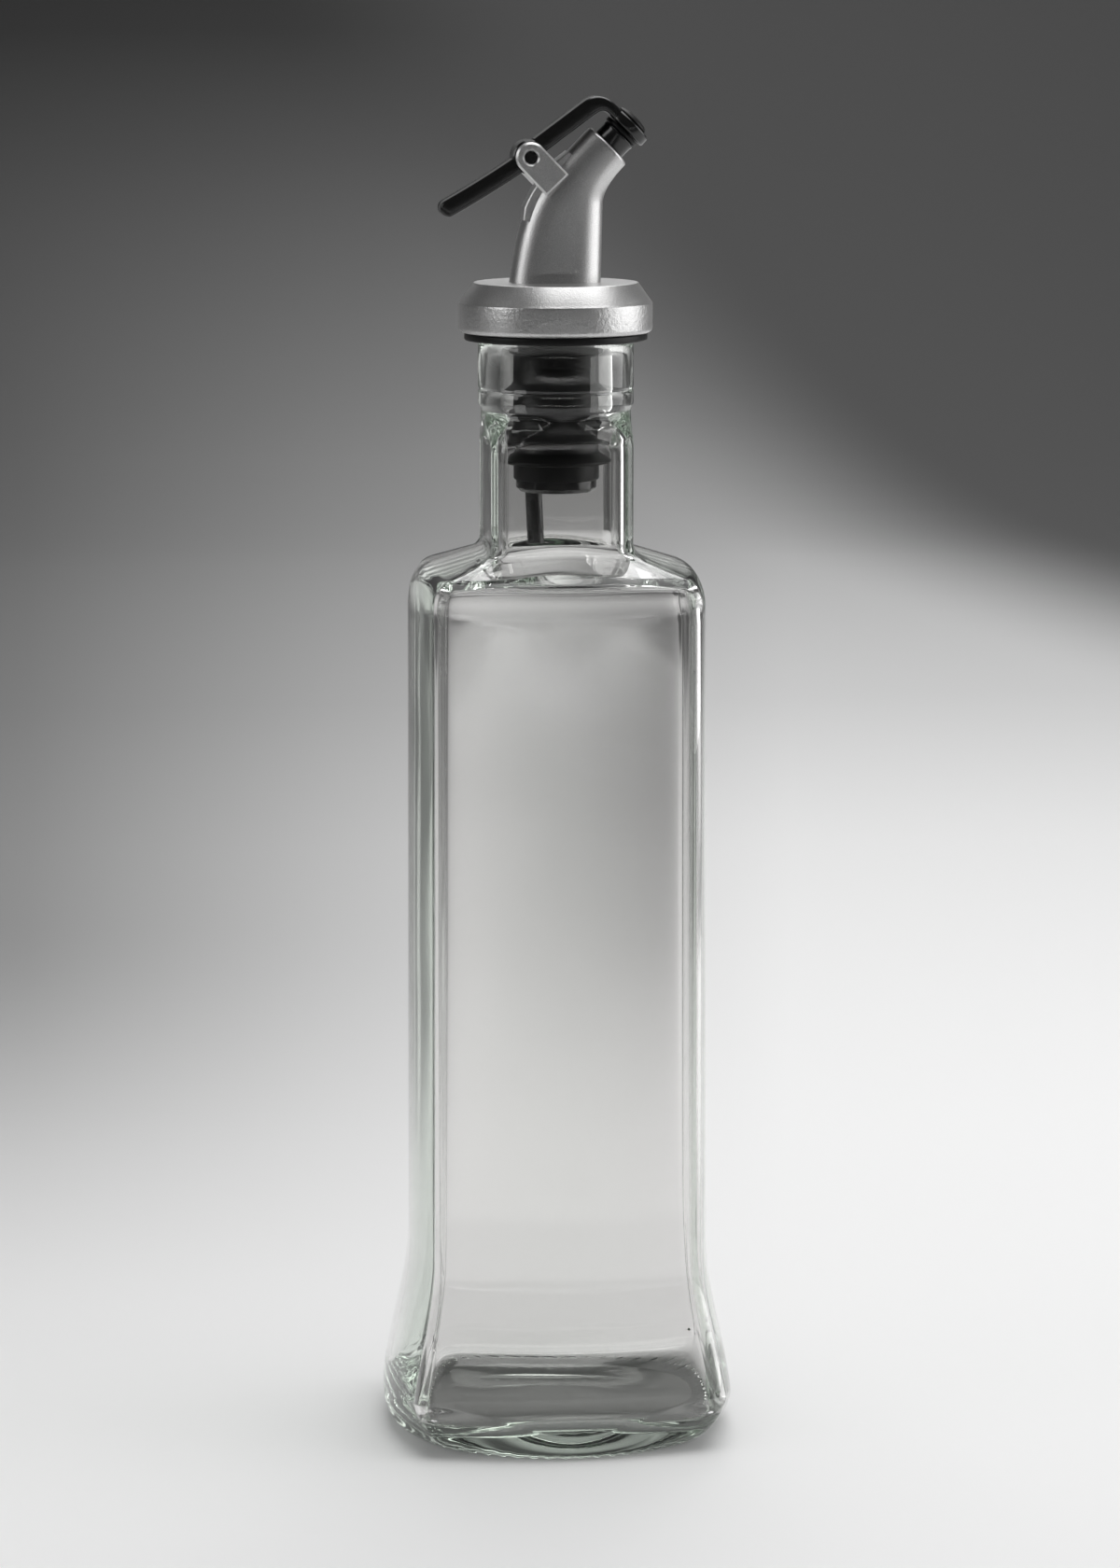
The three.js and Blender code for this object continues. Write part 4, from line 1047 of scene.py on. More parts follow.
@dataclass
class Stopper:
    """Rubber stopper with a flange, a sleeve and four sealing fins."""

    base: float = 222.8726
    flange_radius: float = 18.4
    flange_thickness: float = 1.5
    inner: float = 7.5
    sleeve_radius: float = 8.6
    sleeve_length: float = 28.0
    lip_radius: float = 9.8
    lip_length: float = 2.8
    fin_radius: float = 11.0
    fin_count: int = 4
    fin_pitch: float = 4.75
    first_fin: float = 10.4
    fin_height: float = 2.3
    fin_lip: float = 0.8
    fin_root: Profile = ((0.0, 0.25), (0.2, 0.42))
    fin_back: Profile = ((0.35, -0.2), (0.0, 0.3))
    end_edge: float = 0.35
    fin_edge: float = 0.3
    flange_edge: float = 0.4
    fillet: float = 0.2

    def _profile(self) -> Profile:
        """Draws the half section, down the inside and up the outside.

        Returns:
            Radius and height of each point.
        """
        inner, sleeve, end, edge = self.inner, self.sleeve_radius, -self.sleeve_length, self.end_edge
        profile = [(inner, 0.0), (inner, end + edge), (inner + edge, end)]
        profile += list(arc((sleeve - edge, end + edge), edge, -90, 0, 4))
        edge = self.fin_edge
        for fin in reversed(range(self.fin_count)):
            lip = -self.first_fin - fin * self.fin_pitch
            profile += [(sleeve + out, lip + rise) for out, rise in self.fin_root]
            profile += list(arc((self.fin_radius - edge, lip + edge), edge, -80, 0, 4))
            profile += list(arc((self.fin_radius - edge, lip + self.fin_lip - edge), edge, 0, 60, 4))
            profile += [(sleeve + out, lip + self.fin_height + rise) for out, rise in self.fin_back]
        profile += [(sleeve, -self.lip_length - self.fillet), (sleeve + self.fillet, -self.lip_length)]
        profile += list(arc((self.lip_radius - edge, edge - self.lip_length), edge, -90, 0, 4))
        profile += [(self.lip_radius, -self.fillet), (self.lip_radius + self.fillet, 0.0)]
        edge, rim = self.flange_edge, self.flange_radius - self.flange_edge
        profile += list(arc((rim, edge), edge, -90, 0, 5))
        profile += list(arc((rim, self.flange_thickness - edge), edge, 0, 90, 5))
        return profile + [(inner, self.flange_thickness), (inner, 0.0)]

    def build(self, finishes: Finishes) -> None:
        """Makes the stopper in the neck.

        Args:
            finishes: The materials.
        """
        place = Matrix.Translation((0, 0, self.base))
        piece = Workpiece().lathe(self._profile(), 160, place)
        piece.deliver("stopper_moulding", "rubber_stopper", Body.STOPPER, Slot.RUBBER, finishes, sharp=40.0)


@dataclass
class Mouth:
    """Mouth of the pouring head: place above the collar's top and direction."""

    x: float = 10.5
    rise: float = 27.2
    tilt: float = math.radians(45)
    radius: float = 5.15

    @property
    def normal(self) -> Vector:
        """Direction out of the mouth."""
        return Vector((math.sin(self.tilt), 0, math.cos(self.tilt)))

    @property
    def slope(self) -> Vector:
        """Direction down the mouth's plane."""
        return Vector((math.cos(self.tilt), 0, -math.sin(self.tilt)))

    @property
    def centre(self) -> Vector:
        """Middle of the mouth."""
        return Vector((self.x, 0, self.rise))

    def place(self, top: float) -> Matrix:
        """Where a shape made about Z goes, with heights out from the mouth."""
        return Matrix.Translation(self.centre + Vector((0, 0, top))) @ Matrix.Rotation(self.tilt, 4, "Y")


@dataclass
class Hinge:
    """Pivot of the lever on the head."""

    x: float = -5.5
    rise: float = 25.0
    lever_width: float = 7.3
    side_gap: float = 0.25
    pin_radius: float = 1.2
    pin_gap: float = 0.1

    def pivot(self, top: float) -> Vector:
        """Middle of the pivot."""
        return Vector((self.x, 0, self.rise + top))

    def along_pin(self, top: float) -> Matrix:
        """Where a shape made about Z goes so that it lies along Y on the pivot."""
        return Matrix.Translation(self.pivot(top)) @ Matrix.Rotation(-math.pi / 2, 4, "X")


@dataclass
class PourHead:
    """Silver shell with its black core, air tube and hinge pin."""

    top: float = 234.4226
    mouth: Mouth = field(default_factory=Mouth)
    hinge: Hinge = field(default_factory=Hinge)
    collar_radius: float = 19.45
    collar_height: float = 10.0
    collar_edge: float = 1.1
    bevel_run: float = 3.0
    bevel_rise: float = 4.1
    bevel_ease: float = 0.1
    bevel_edge: float = 0.35
    recess_radius: float = 17.15
    recess_edge: float = 0.2
    tower_rear: float = -9.4
    tower_length: float = 18.4
    tower_width: float = 11.4
    tower_wall: float = 1.6
    tower_fullness: float = 2.3
    tower_root: float = 1.0
    stem_height: float = 16.1
    rear_lean: float = 2.4
    rear_pull: float = 17.8
    front_lean: float = 0.4
    front_pull: float = 6.1
    mouth_edge: float = 0.55
    mouth_gap: float = 0.3
    mouth_chamfer: float = 0.15
    mouth_depth: float = 3.0
    ear_radius: float = 3.05
    ear_length: float = 7.6
    ear_turn: float = math.radians(-46)
    ear_thickness: float = 1.8
    ear_edge: float = 0.4
    hole_chamfer: float = 0.42
    pad_height: float = 0.6
    pad_edge: float = 0.25
    pad_root: float = 2.2
    pad_gap: float = 0.2
    pad_ramp: float = 6.0
    pad_range: tuple[float, float] = (0.34, 0.86)
    pad_probe: float = 0.01
    nozzle_radius: float = 3.65
    nozzle_length: float = 3.2
    nozzle_root: float = 4.0
    bead_steps: Profile = ((0.0, 0.75), (0.12, 0.55))
    bead_edge: float = 0.2
    bead_inset: float = 0.08
    channel_radius: float = 2.2
    channel_edge: float = 0.25
    core_gap: float = 0.3
    flange_gap: float = 0.05
    flange_thickness: float = 2.2
    core_root: float = 1.0
    spigot_radius: float = 7.3
    barb_radius: float = 8.1
    barb_height: float = 2.3
    barb_slope: float = 0.8
    spigot_dish: Profile = ((1.6, 1.0), (1.2, 0.0))
    spigot_depth: float = 1.2
    spigot_base: float = -41.9
    vent_radius: float = 1.7
    vent_bore: float = 1.0
    vent_x: float = -4.6
    vent_tilt: float = math.radians(2.5)
    vent_end: float = -10.6
    vent_seat: float = 6.0
    vent_edge: float = 0.25
    vent_chamfer: float = 0.15
    pin_inset: float = 0.3
    pin_edge: float = 0.2

    def _rear(self, share: float) -> Vector:
        """Finds a point of the tower's rear curve.

        Args:
            share: Place along the tower, 0 at the collar and 1 at the mouth.

        Returns:
            The point.
        """
        foot = Vector((self.tower_rear, 0, 0))
        stem = foot + Vector((self.rear_lean, 0, self.stem_height))
        end = self.mouth.centre - self.mouth.slope * self.mouth.radius
        return bezier((foot, stem, end - self.mouth.normal * self.rear_pull, end), share)

    def _front(self, share: float) -> Vector:
        """Finds a point of the tower's front line, straight below and bent above.

        Args:
            share: Place along the tower, 0 at the collar and 1 at the mouth.

        Returns:
            The point.
        """
        foot = Vector((self.tower_rear + self.tower_length, 0, 0))
        stem = foot + Vector((self.front_lean, 0, self.stem_height))
        end = self.mouth.centre + self.mouth.slope * self.mouth.radius
        if share < 0.5:
            return foot.lerp(stem, 2 * share)
        return bezier((stem, end - self.mouth.normal * self.front_pull, end), 2 * share - 1)

    def _tower_ring(self, share: float, inset: float = 0.0, out: float = 0.0, sides: int = 96) -> Ring:
        """Ring of the tower: straight sides and round ends.

        Args:
            share: Place along the tower, 0 at the collar and 1 at the mouth.
            inset: How far inside the tower's skin the ring lies.
            out: How far out of the section's plane it is moved, along the mouth's direction.
            sides: Number of points.

        Returns:
            The ring's points.
        """
        rear, front = self._rear(share), self._front(share)
        middle = rear.lerp(front, 0.5) + self.mouth.normal * out
        along = (front - rear).normalized()
        width = lerp(self.tower_width / 2, self.mouth.radius, share) - inset
        length = max((front - rear).length / 2 - inset, width)
        ring = []
        for side in range(sides):
            angle = 2 * math.pi * side / sides
            reach = self._oval_reach(angle, length, width)
            ring.append(middle + along * (reach * math.cos(angle)) + Vector((0, reach * math.sin(angle), 0)))
        return ring

    def _oval_reach(self, angle: float, length: float, width: float) -> float:
        """Distance from the middle to an oval a little fuller than an ellipse."""
        along = abs(math.cos(angle) / length) ** self.tower_fullness
        return (along + abs(math.sin(angle) / width) ** self.tower_fullness) ** (-1 / self.tower_fullness)

    def _tower(self) -> list[Ring]:
        """Makes the tower's skin, over the rounded mouth and a short way down the inside.

        Returns:
            The rings.
        """
        root, sunk = self._tower_ring(0.0), Vector((0, 0, -self.tower_root))
        rings = [[sunk] * len(root), [point + sunk for point in root]]
        rings += [self._tower_ring(share) for share in shares(49)[:-1]]
        edge, chamfer, depth = self.mouth_edge, self.mouth_chamfer, self.mouth_depth
        for share in shares(5):
            angle = math.pi / 2 * share
            rings.append(self._tower_ring(1.0, edge * (1 - math.cos(angle)), edge * (math.sin(angle) - 1)))
        hole = self.mouth.radius - self.nozzle_radius - self.mouth_gap
        rings += [self._tower_ring(1.0, hole - chamfer), self._tower_ring(1.0, hole, -chamfer),
                  self._tower_ring(1.0, hole, -depth)]
        centre = self.mouth.centre - self.mouth.normal * depth
        return rings + [[centre] * len(root)]

    def _collar(self) -> Profile:
        """Draws the collar's half section: the hollow below, rounded foot, side, bevel and top.

        Returns:
            Radius and height of each point.
        """
        base, radius, hollow = -self.collar_height, self.collar_radius, self.recess_radius
        edge, soft, ease = self.collar_edge, self.bevel_edge, self.bevel_ease
        profile = [(0, -self.tower_wall), (hollow - self.bevel_run, -self.tower_wall),
                   (hollow, -self.bevel_rise - self.tower_wall), (hollow, base + self.recess_edge),
                   (hollow + self.recess_edge, base)]
        profile += list(arc((radius - edge, base + edge), edge, -90, 0, 7))
        slant = math.degrees(math.atan2(self.bevel_run, self.bevel_rise))
        profile += list(arc((radius - soft, -self.bevel_rise - ease), soft, 0, slant, 4))
        profile += list(arc((radius - self.bevel_run - ease, -soft), soft, slant, 90, 5))
        return profile + [(0, 0)]

    def _ear_outline(self, shrink: float) -> list[tuple[float, float]]:
        """Draws an ear about the pivot, round at the pivot and square at its root.

        Args:
            shrink: How far inside the ear's edge the outline lies.

        Returns:
            Place along the ear and across it of each point.
        """
        radius, length = self.ear_radius - shrink, self.ear_length - shrink
        outline = [(length, lerp(-radius, radius, share)) for share in shares(9)[:-1]]
        outline += [(length * (1 - share), radius) for share in shares(9)[:-1]]
        outline += [(radius * math.cos(turn), radius * math.sin(turn))
                    for turn in (math.pi * (0.5 + share) for share in shares(25)[:-1])]
        return outline + [(length * share, -radius) for share in shares(9)[:-1]]

    def _ear(self, side: int) -> list[Ring]:
        """Makes an ear plate with a chamfered hole.

        Args:
            side: 1 for the ear at the back, -1 for the one at the front.

        Returns:
            The rings, closed on themselves.
        """
        inner = side * (self.hinge.lever_width / 2 + self.hinge.side_gap)
        outer = inner + side * self.ear_thickness
        step = side * self.ear_edge
        hole = self.hinge.pin_radius + self.hinge.pin_gap
        whole, eased = self._ear_outline(0.0), self._ear_outline(self.ear_edge)

        def ring(outline: Profile, across: float) -> Ring:
            """Ring of an outline at a place along the pin."""
            return [Vector((x, across, z)) for x, z in outline]

        def round_ring(radius: float, across: float) -> Ring:
            """Round ring whose points face those of the outline."""
            turns = [math.atan2(z, x) for x, z in whole]
            return [Vector((radius * math.cos(turn), across, radius * math.sin(turn))) for turn in turns]

        start = round_ring(hole, inner)
        return [start, ring(eased, inner), ring(whole, inner + step),
                ring(whole, outer - step), ring(eased, outer),
                round_ring(hole + self.hole_chamfer, outer),
                round_ring(hole, outer - side * self.hole_chamfer), start]

    def _pad(self) -> list[Ring]:
        """Makes the raised pad on the tower's rear, between the ears.

        Returns:
            The rings.
        """
        half, edge, root = self.hinge.lever_width / 2 - self.pad_gap, self.pad_edge, -self.pad_root
        rings = []
        for share in shares(25):
            place = lerp(*self.pad_range, share)
            at = self._rear(place)
            before, after = (self._rear(place + step) for step in (-self.pad_probe, self.pad_probe))
            tangent = (after - before).normalized()
            outwards = Vector((-tangent.z, 0, tangent.x))
            height = self.pad_height * min(1.0, self.pad_ramp * share, self.pad_ramp * (1 - share))
            crest = [(-half, root), (-half, height - edge), (edge - half, height), (half - edge, height),
                     (half, height - edge), (half, root)]
            rings.append([at + Vector((0, across, 0)) + outwards * lift for across, lift in crest])
        ends = [[sum(ring, Vector()) / len(ring)] * len(ring) for ring in (rings[0], rings[-1])]
        return [ends[0], *rings, ends[1]]

    def build_shell(self, finishes: Finishes) -> None:
        """Makes the silver shell: collar, tower, pad and ears.

        Args:
            finishes: The materials.
        """
        lift = Matrix.Translation((0, 0, self.top))
        ears = Matrix.Translation(self.hinge.pivot(self.top)) @ Matrix.Rotation(-self.ear_turn, 4, "Y")
        shell = Workpiece().lathe(self._collar(), 192, lift).loft(self._tower(), lift).loft(self._pad(), lift)
        shell.loft(self._ear(1), ears).loft(self._ear(-1), ears)
        shell.deliver("shell_moulding", "spout_shell", Body.HEAD, Slot.SILVER, finishes, sharp=24.0)

    def build_core(self, finishes: Finishes) -> None:
        """Makes the black core: nozzle, filling of the tower, flange and spigot.

        Args:
            finishes: The materials.
        """
        lift = Matrix.Translation((0, 0, self.top))
        core = Workpiece().lathe(self._nozzle(), 96, self.mouth.place(self.top))
        core.lathe(self._spigot(), 128, lift).loft(self._filling(), lift)
        core.deliver("core_moulding", "pour_core", Body.HEAD, Slot.PLASTIC, finishes)

    def _nozzle(self) -> Profile:
        """Draws the nozzle's half section, with a bead round its lip.

        Returns:
            Radius and height above the mouth of each point.
        """
        lip, radius, bore = self.nozzle_length, self.nozzle_radius, self.channel_radius
        root, edge = -self.nozzle_root, self.bead_edge
        profile = [(bore, root), (radius, root)]
        profile += [(radius + out, lip - down) for out, down in self.bead_steps]
        profile += list(arc((radius - self.bead_inset, lip - edge), edge, 0, 90, 4))
        return profile + [(bore + self.channel_edge, lip), (bore, lip - self.channel_edge), (bore, root)]

    @property
    def _flange_base(self) -> float:
        """Height of the core's flange, in the collar."""
        return self.flange_gap - self.collar_height

    def _spigot(self) -> Profile:
        """Draws the half section of the spigot with its barb, and of the flange above it.

        Returns:
            Radius and height of each point.
        """
        base, flange, radius = self.spigot_base, self._flange_base, self.spigot_radius
        rim, top = self.recess_radius - self.core_gap, flange + self.flange_thickness
        profile = [(0, base + self.spigot_depth)]
        profile += [(radius - inset, base + rise) for inset, rise in self.spigot_dish]
        profile += [(radius, base), (self.barb_radius, base + self.barb_slope)]
        profile += [(self.barb_radius, base + self.barb_height), (radius, base + self.barb_height)]
        return profile + [(radius, flange), (rim, flange), (rim, top), (0, top)]

    def _filling(self) -> list[Ring]:
        """Makes the part of the core that fills the tower.

        Returns:
            The rings.
        """
        inset, level = self.tower_wall + self.core_gap, self._flange_base + self.core_root
        root = self._tower_ring(0.0, inset)
        rings = [[Vector((0, 0, level))] * len(root), [Vector((point.x, point.y, level)) for point in root]]
        rings += [self._tower_ring(share, inset) for share in shares(17)[:-3]]
        return rings + [[sum(rings[-1], Vector()) / len(root)] * len(root)]

    def build_tube(self, finishes: Finishes) -> None:
        """Makes the air tube that hangs from the spigot.

        Args:
            finishes: The materials.
        """
        end, seat, soft, bore = self.vent_end, self.vent_seat, self.vent_edge, self.vent_bore
        profile = [(bore, end + soft), (bore + self.vent_chamfer, end)]
        profile += list(arc((self.vent_radius - soft, end + soft), soft, -90, 0, 4))
        profile += [(self.vent_radius, seat), (bore, seat), (bore, end + soft)]
        hang = Matrix.Translation((self.vent_x, 0, self.top + self.spigot_base))
        tube = Workpiece().lathe(profile, 64, hang @ Matrix.Rotation(-self.vent_tilt, 4, "Y"))
        tube.deliver("air_tube", "vent_tube", Body.HEAD, Slot.PLASTIC, finishes)

    def build_pin(self, finishes: Finishes) -> None:
        """Makes the hinge pin through both ears.

        Args:
            finishes: The materials.
        """
        half = self.hinge.lever_width / 2 + self.hinge.side_gap + self.ear_thickness - self.pin_inset
        radius, soft = self.hinge.pin_radius, self.pin_edge
        profile = [(0, -half), (radius - soft, -half), (radius, soft - half),
                   (radius, half - soft), (radius - soft, half), (0, half)]
        pin = Workpiece().lathe(profile, 48, self.hinge.along_pin(self.top))
        pin.deliver("pin_round", "hinge_pin", Body.HEAD, Slot.PLASTIC, finishes, sharp=30.0)


@dataclass
class Lever:
    """Black lever with thumb tail, hub, bent arm and cap, and the soft plug in the cap."""

    head: PourHead
    edge: float = 0.6
    edge_limit: float = 0.98
    corner_points: int = 5
    hub_radius: float = 3.45
    tail_thickness: float = 3.4
    tail_end: tuple[float, float] = (-16.3, -10.1)
    tail_bend: tuple[float, float] = (-8.0, -5.5)
    arm_thickness: float = 3.4
    arm_rise: float = math.radians(36.5)
    arm_offset: float = 0.7
    arm_bend: float = 3.3
    cap_radius: float = 4.85
    cap_base: float = 4.4
    cap_thickness: float = 2.2
    seal_base: float = 3.4
    pocket_radius: float = 2.75
    pocket_floor: float = -0.95
    bar_start: float = 2.9
    tail_start: float = 0.16
    end_turns: Sequence[float] = (15, 30, 45, 60, 72, 82, 88)
    end_inset: float = 0.5
    thinning: tuple[float, float] = (0.35, 0.95)
    hub_edge: float = 0.3
    cap_edge: float = 0.5
    cap_hole: float = 1.8
    disc_radius: float = 3.95
    disc_thickness: float = 0.8
    disc_edge: float = 0.2
    stem_radius: float = 1.6
    dome_radius: float = 3.5
    dome_inset: float = 0.1
    dome_foot: float = 0.12
    dome_height: float = 1.15
    dome_gap: float = 0.2

    def _bar_ring(self, at: Vector, normal: Vector, half: float, width: float) -> Ring:
        """Ring of a bar: a rectangle with eased corners.

        Args:
            at: Middle of the ring.
            normal: Direction of the bar's thickness.
            half: Half of the thickness.
            width: Half of the width across the lever.

        Returns:
            The ring's points.
        """
        soft = min(self.edge, half * self.edge_limit)
        ring = []
        for quarter, (side, up) in enumerate(((1, 1), (-1, 1), (-1, -1), (1, -1))):
            for share in shares(self.corner_points):
                turn = math.radians(90 * (quarter + share))
                across = side * (width - soft) + soft * math.cos(turn)
                lift = up * (half - soft) + soft * math.sin(turn)
                ring.append(at + Vector((0, across, 0)) + normal * lift)
        return ring

    def _bar(self, points: Sequence[Vector], half: Callable[[float], float], round_end: bool) -> list[Ring]:
        """Rings of a bar along a line of points, closed at both ends.

        Args:
            points: Middle line.
            half: Half thickness at a share of the way.
            round_end: Whether the far end is rounded off.

        Returns:
            The rings.
        """
        width = self.head.hinge.lever_width / 2
        rings = []
        normal = Vector((0, 0, 1))
        along = Vector((1, 0, 0))
        for index, point in enumerate(points):
            along = (points[min(index + 1, len(points) - 1)] - points[max(index - 1, 0)]).normalized()
            normal = Vector((-along.z, 0, along.x))
            rings.append(self._bar_ring(point, normal, half(index / (len(points) - 1)), width))
        end = points[-1]
        if round_end:
            for angle in map(math.radians, self.end_turns):
                at = points[-1] + along * (half(1) * math.sin(angle))
                inset = self.end_inset * (1 - math.cos(angle))
                rings.append(self._bar_ring(at, normal, half(1) * math.cos(angle), width - inset))
            end = points[-1] + along * half(1)
        return [[points[0]] * len(rings[0]), *rings, [end] * len(rings[0])]

    def _tail(self) -> list[Ring]:
        """Makes the thumb tail.

        Returns:
            The rings.
        """
        control = [Vector((x, 0, z)) for x, z in ((0, 0), self.tail_bend, self.tail_end)]
        line = [bezier(control, lerp(self.tail_start, 1.0, share)) for share in shares(25)]
        return self._bar(line, lambda share: self.tail_thickness / 2, True)

    def _arm(self) -> list[Ring]:
        """Makes the arm, from the hub round the bend to the cap.

        Returns:
            The rings.
        """
        mouth, hinge = self.head.mouth, self.head.hinge
        along = Vector((math.cos(self.arm_rise), 0, math.sin(self.arm_rise)))
        start = Vector((-along.z, 0, along.x)) * self.arm_offset
        cap = mouth.centre - hinge.pivot(0) + mouth.normal * (self.cap_base + self.cap_thickness / 2)
        down = mouth.slope
        across = cap - start
        travel = (across.x * down.z - across.z * down.x) / (along.x * down.z - along.z * down.x)
        corner = start + along * travel
        bend = (corner - along * self.arm_bend, corner, corner + down * self.arm_bend)
        first = start + along * self.bar_start
        line = [first.lerp(bend[0], share) for share in shares(10)[:-1]]
        line += [bezier(bend, share) for share in shares(17)]
        line += [bend[2].lerp(cap, share) for share in (0.5, 1.0)]
        thick, thin = self.arm_thickness / 2, self.cap_thickness / 2
        return self._bar(line, lambda share: lerp(thick, thin, smoothstep(share, *self.thinning)), False)

    def _hub(self) -> Profile:
        """Draws the hub's half section, with the pin's bore and the spring's pocket.

        Returns:
            Radius of each point and its place along the pin.
        """
        hinge = self.head.hinge
        half, radius, soft = hinge.lever_width / 2, self.hub_radius, self.hub_edge
        bore = hinge.pin_radius + hinge.pin_gap
        profile = [(bore, -half), (radius - soft, -half), (radius, soft - half),
                   (radius, half - soft), (radius - soft, half)]
        profile += [(self.pocket_radius, half), (self.pocket_radius, self.pocket_floor)]
        return profile + [(bore, self.pocket_floor), (bore, -half)]

    def build(self, finishes: Finishes) -> None:
        """Makes the lever and its plug.

        Args:
            finishes: The materials.
        """
        top = self.head.top
        pivot = Matrix.Translation(self.head.hinge.pivot(top))
        mouth = self.head.mouth.place(top)
        low, high = self.cap_base, self.cap_base + self.cap_thickness
        hole, soft, rim = self.cap_hole, self.cap_edge, self.cap_radius - self.cap_edge
        cap = [(hole, low), *arc((rim, low + soft), soft, -90, 0, 5),
               *arc((rim, high - soft), soft, 0, 90, 5), (hole, high), (hole, low)]
        lever = Workpiece().loft(self._tail(), pivot).loft(self._arm(), pivot)
        lever.lathe(self._hub(), 96, self.head.hinge.along_pin(top)).lathe(cap, 96, mouth)
        lever.deliver("lever_moulding", "lever", Body.LEVER, Slot.PLASTIC, finishes, sharp=30.0)
        self._build_plug(finishes, mouth, high + self.dome_gap)

    def _build_plug(self, finishes: Finishes, place: Matrix, head: float) -> None:
        """Makes the plug: a disc under the cap, a stem and a domed head.

        Args:
            finishes: The materials.
            place: Where the mouth is.
            head: Height of the domed head above the mouth.
        """
        low, high, soft = self.seal_base, self.seal_base + self.disc_thickness, self.disc_edge
        rim, dome, rise = self.disc_radius - soft, self.dome_radius, self.dome_height - self.dome_foot
        profile = [(0, low), *arc((rim, low + soft), soft, -90, 0, 4), *arc((rim, high - soft), soft, 0, 90, 4)]
        profile += [(self.stem_radius, high), (self.stem_radius, head), (dome - self.dome_inset, head)]
        for share in shares(13)[:-1]:
            turn = math.pi / 2 * share
            profile.append((dome * math.cos(turn), head + self.dome_foot + rise * math.sin(turn)))
        plug = Workpiece().lathe([*profile, (0, head + self.dome_height)], 96, place)
        plug.deliver("plug_moulding", "lever_seal", Body.LEVER, Slot.RUBBER, finishes)


@dataclass
class ReturnSpring:
    """Torsion spring round the pin, in the hub's pocket."""

    head: PourHead
    wire_radius: float = 0.25
    coil_radius: float = 2.1
    turns: float = 3.25
    pitch: float = 1.05
    start: float = -0.3
    tang: float = 1.5
    sides: int = 10
    steps_per_turn: int = 28
    tang_bend: float = 0.12

    def _line(self) -> list[Vector]:
        """Draws the middle of the wire, with a tang at each end.

        Returns:
            The line's points.
        """
        count = round(self.turns * self.steps_per_turn)
        coil = []
        for share in shares(count + 1):
            turn = 2 * math.pi * self.turns * share
            across = self.start + self.turns * self.pitch * share
            coil.append(Vector((self.coil_radius * math.cos(turn), across, self.coil_radius * math.sin(turn))))
        reach = Vector((0, self.tang, 0))
        bend = reach * self.tang_bend
        return [coil[0] - reach, coil[0] - bend, *coil[1:-1], coil[-1] + bend, coil[-1] + reach]

    def build(self, finishes: Finishes) -> None:
        """Makes the wound wire.

        Args:
            finishes: The materials.
        """
        line = self._line()
        rings: list[Ring] = []
        side = Vector((1, 0, 0))
        turns = [2 * math.pi * step / self.sides for step in range(self.sides)]
        for index, point in enumerate(line):
            along = (line[min(index + 1, len(line) - 1)] - line[max(index - 1, 0)]).normalized()
            side = (side - along * side.dot(along)).normalized()
            up = along.cross(side)
            spokes = [side * math.cos(turn) + up * math.sin(turn) for turn in turns]
            rings.append([point + spoke * self.wire_radius for spoke in spokes])
        closed = [[line[0]] * self.sides, *rings, [line[-1]] * self.sides]
        wire = Workpiece().loft(closed, Matrix.Translation(self.head.hinge.pivot(self.head.top)))
        wire.deliver("wound_wire", "return_spring", Body.HEAD, Slot.STEEL, finishes)


@dataclass(frozen=True)
class SoftBox:
    """A soft studio lamp.

    Attributes:
        name: Name of the lamp.
        place: Where it hangs, in metres.
        aim: Where it points.
        size: Width and height of its face.
        power: Power in watts.
        spread: Angle that its light fans out to.
        mirrored: Whether glass and paint show its face.
    """

    name: str
    place: tuple[float, float, float]
    aim: tuple[float, float, float]
    size: tuple[float, float]
    power: float
    spread: float = math.pi
    mirrored: bool = True

    def build(self) -> None:
        """Hangs the lamp."""
        lamp = bpy.data.lights.new(self.name, "AREA")
        lamp.shape = "RECTANGLE"
        lamp.size, lamp.size_y = self.size
        lamp.energy = self.power
        lamp.spread = self.spread
        rig = bpy.data.objects.new(self.name, lamp)
        rig.location = self.place
        rig.rotation_euler = (Vector(self.aim) - Vector(self.place)).to_track_quat("-Z", "Y").to_euler()
        rig.visible_camera = False
        rig.visible_transmission = rig.visible_glossy = self.mirrored
        bpy.context.scene.collection.objects.link(rig)


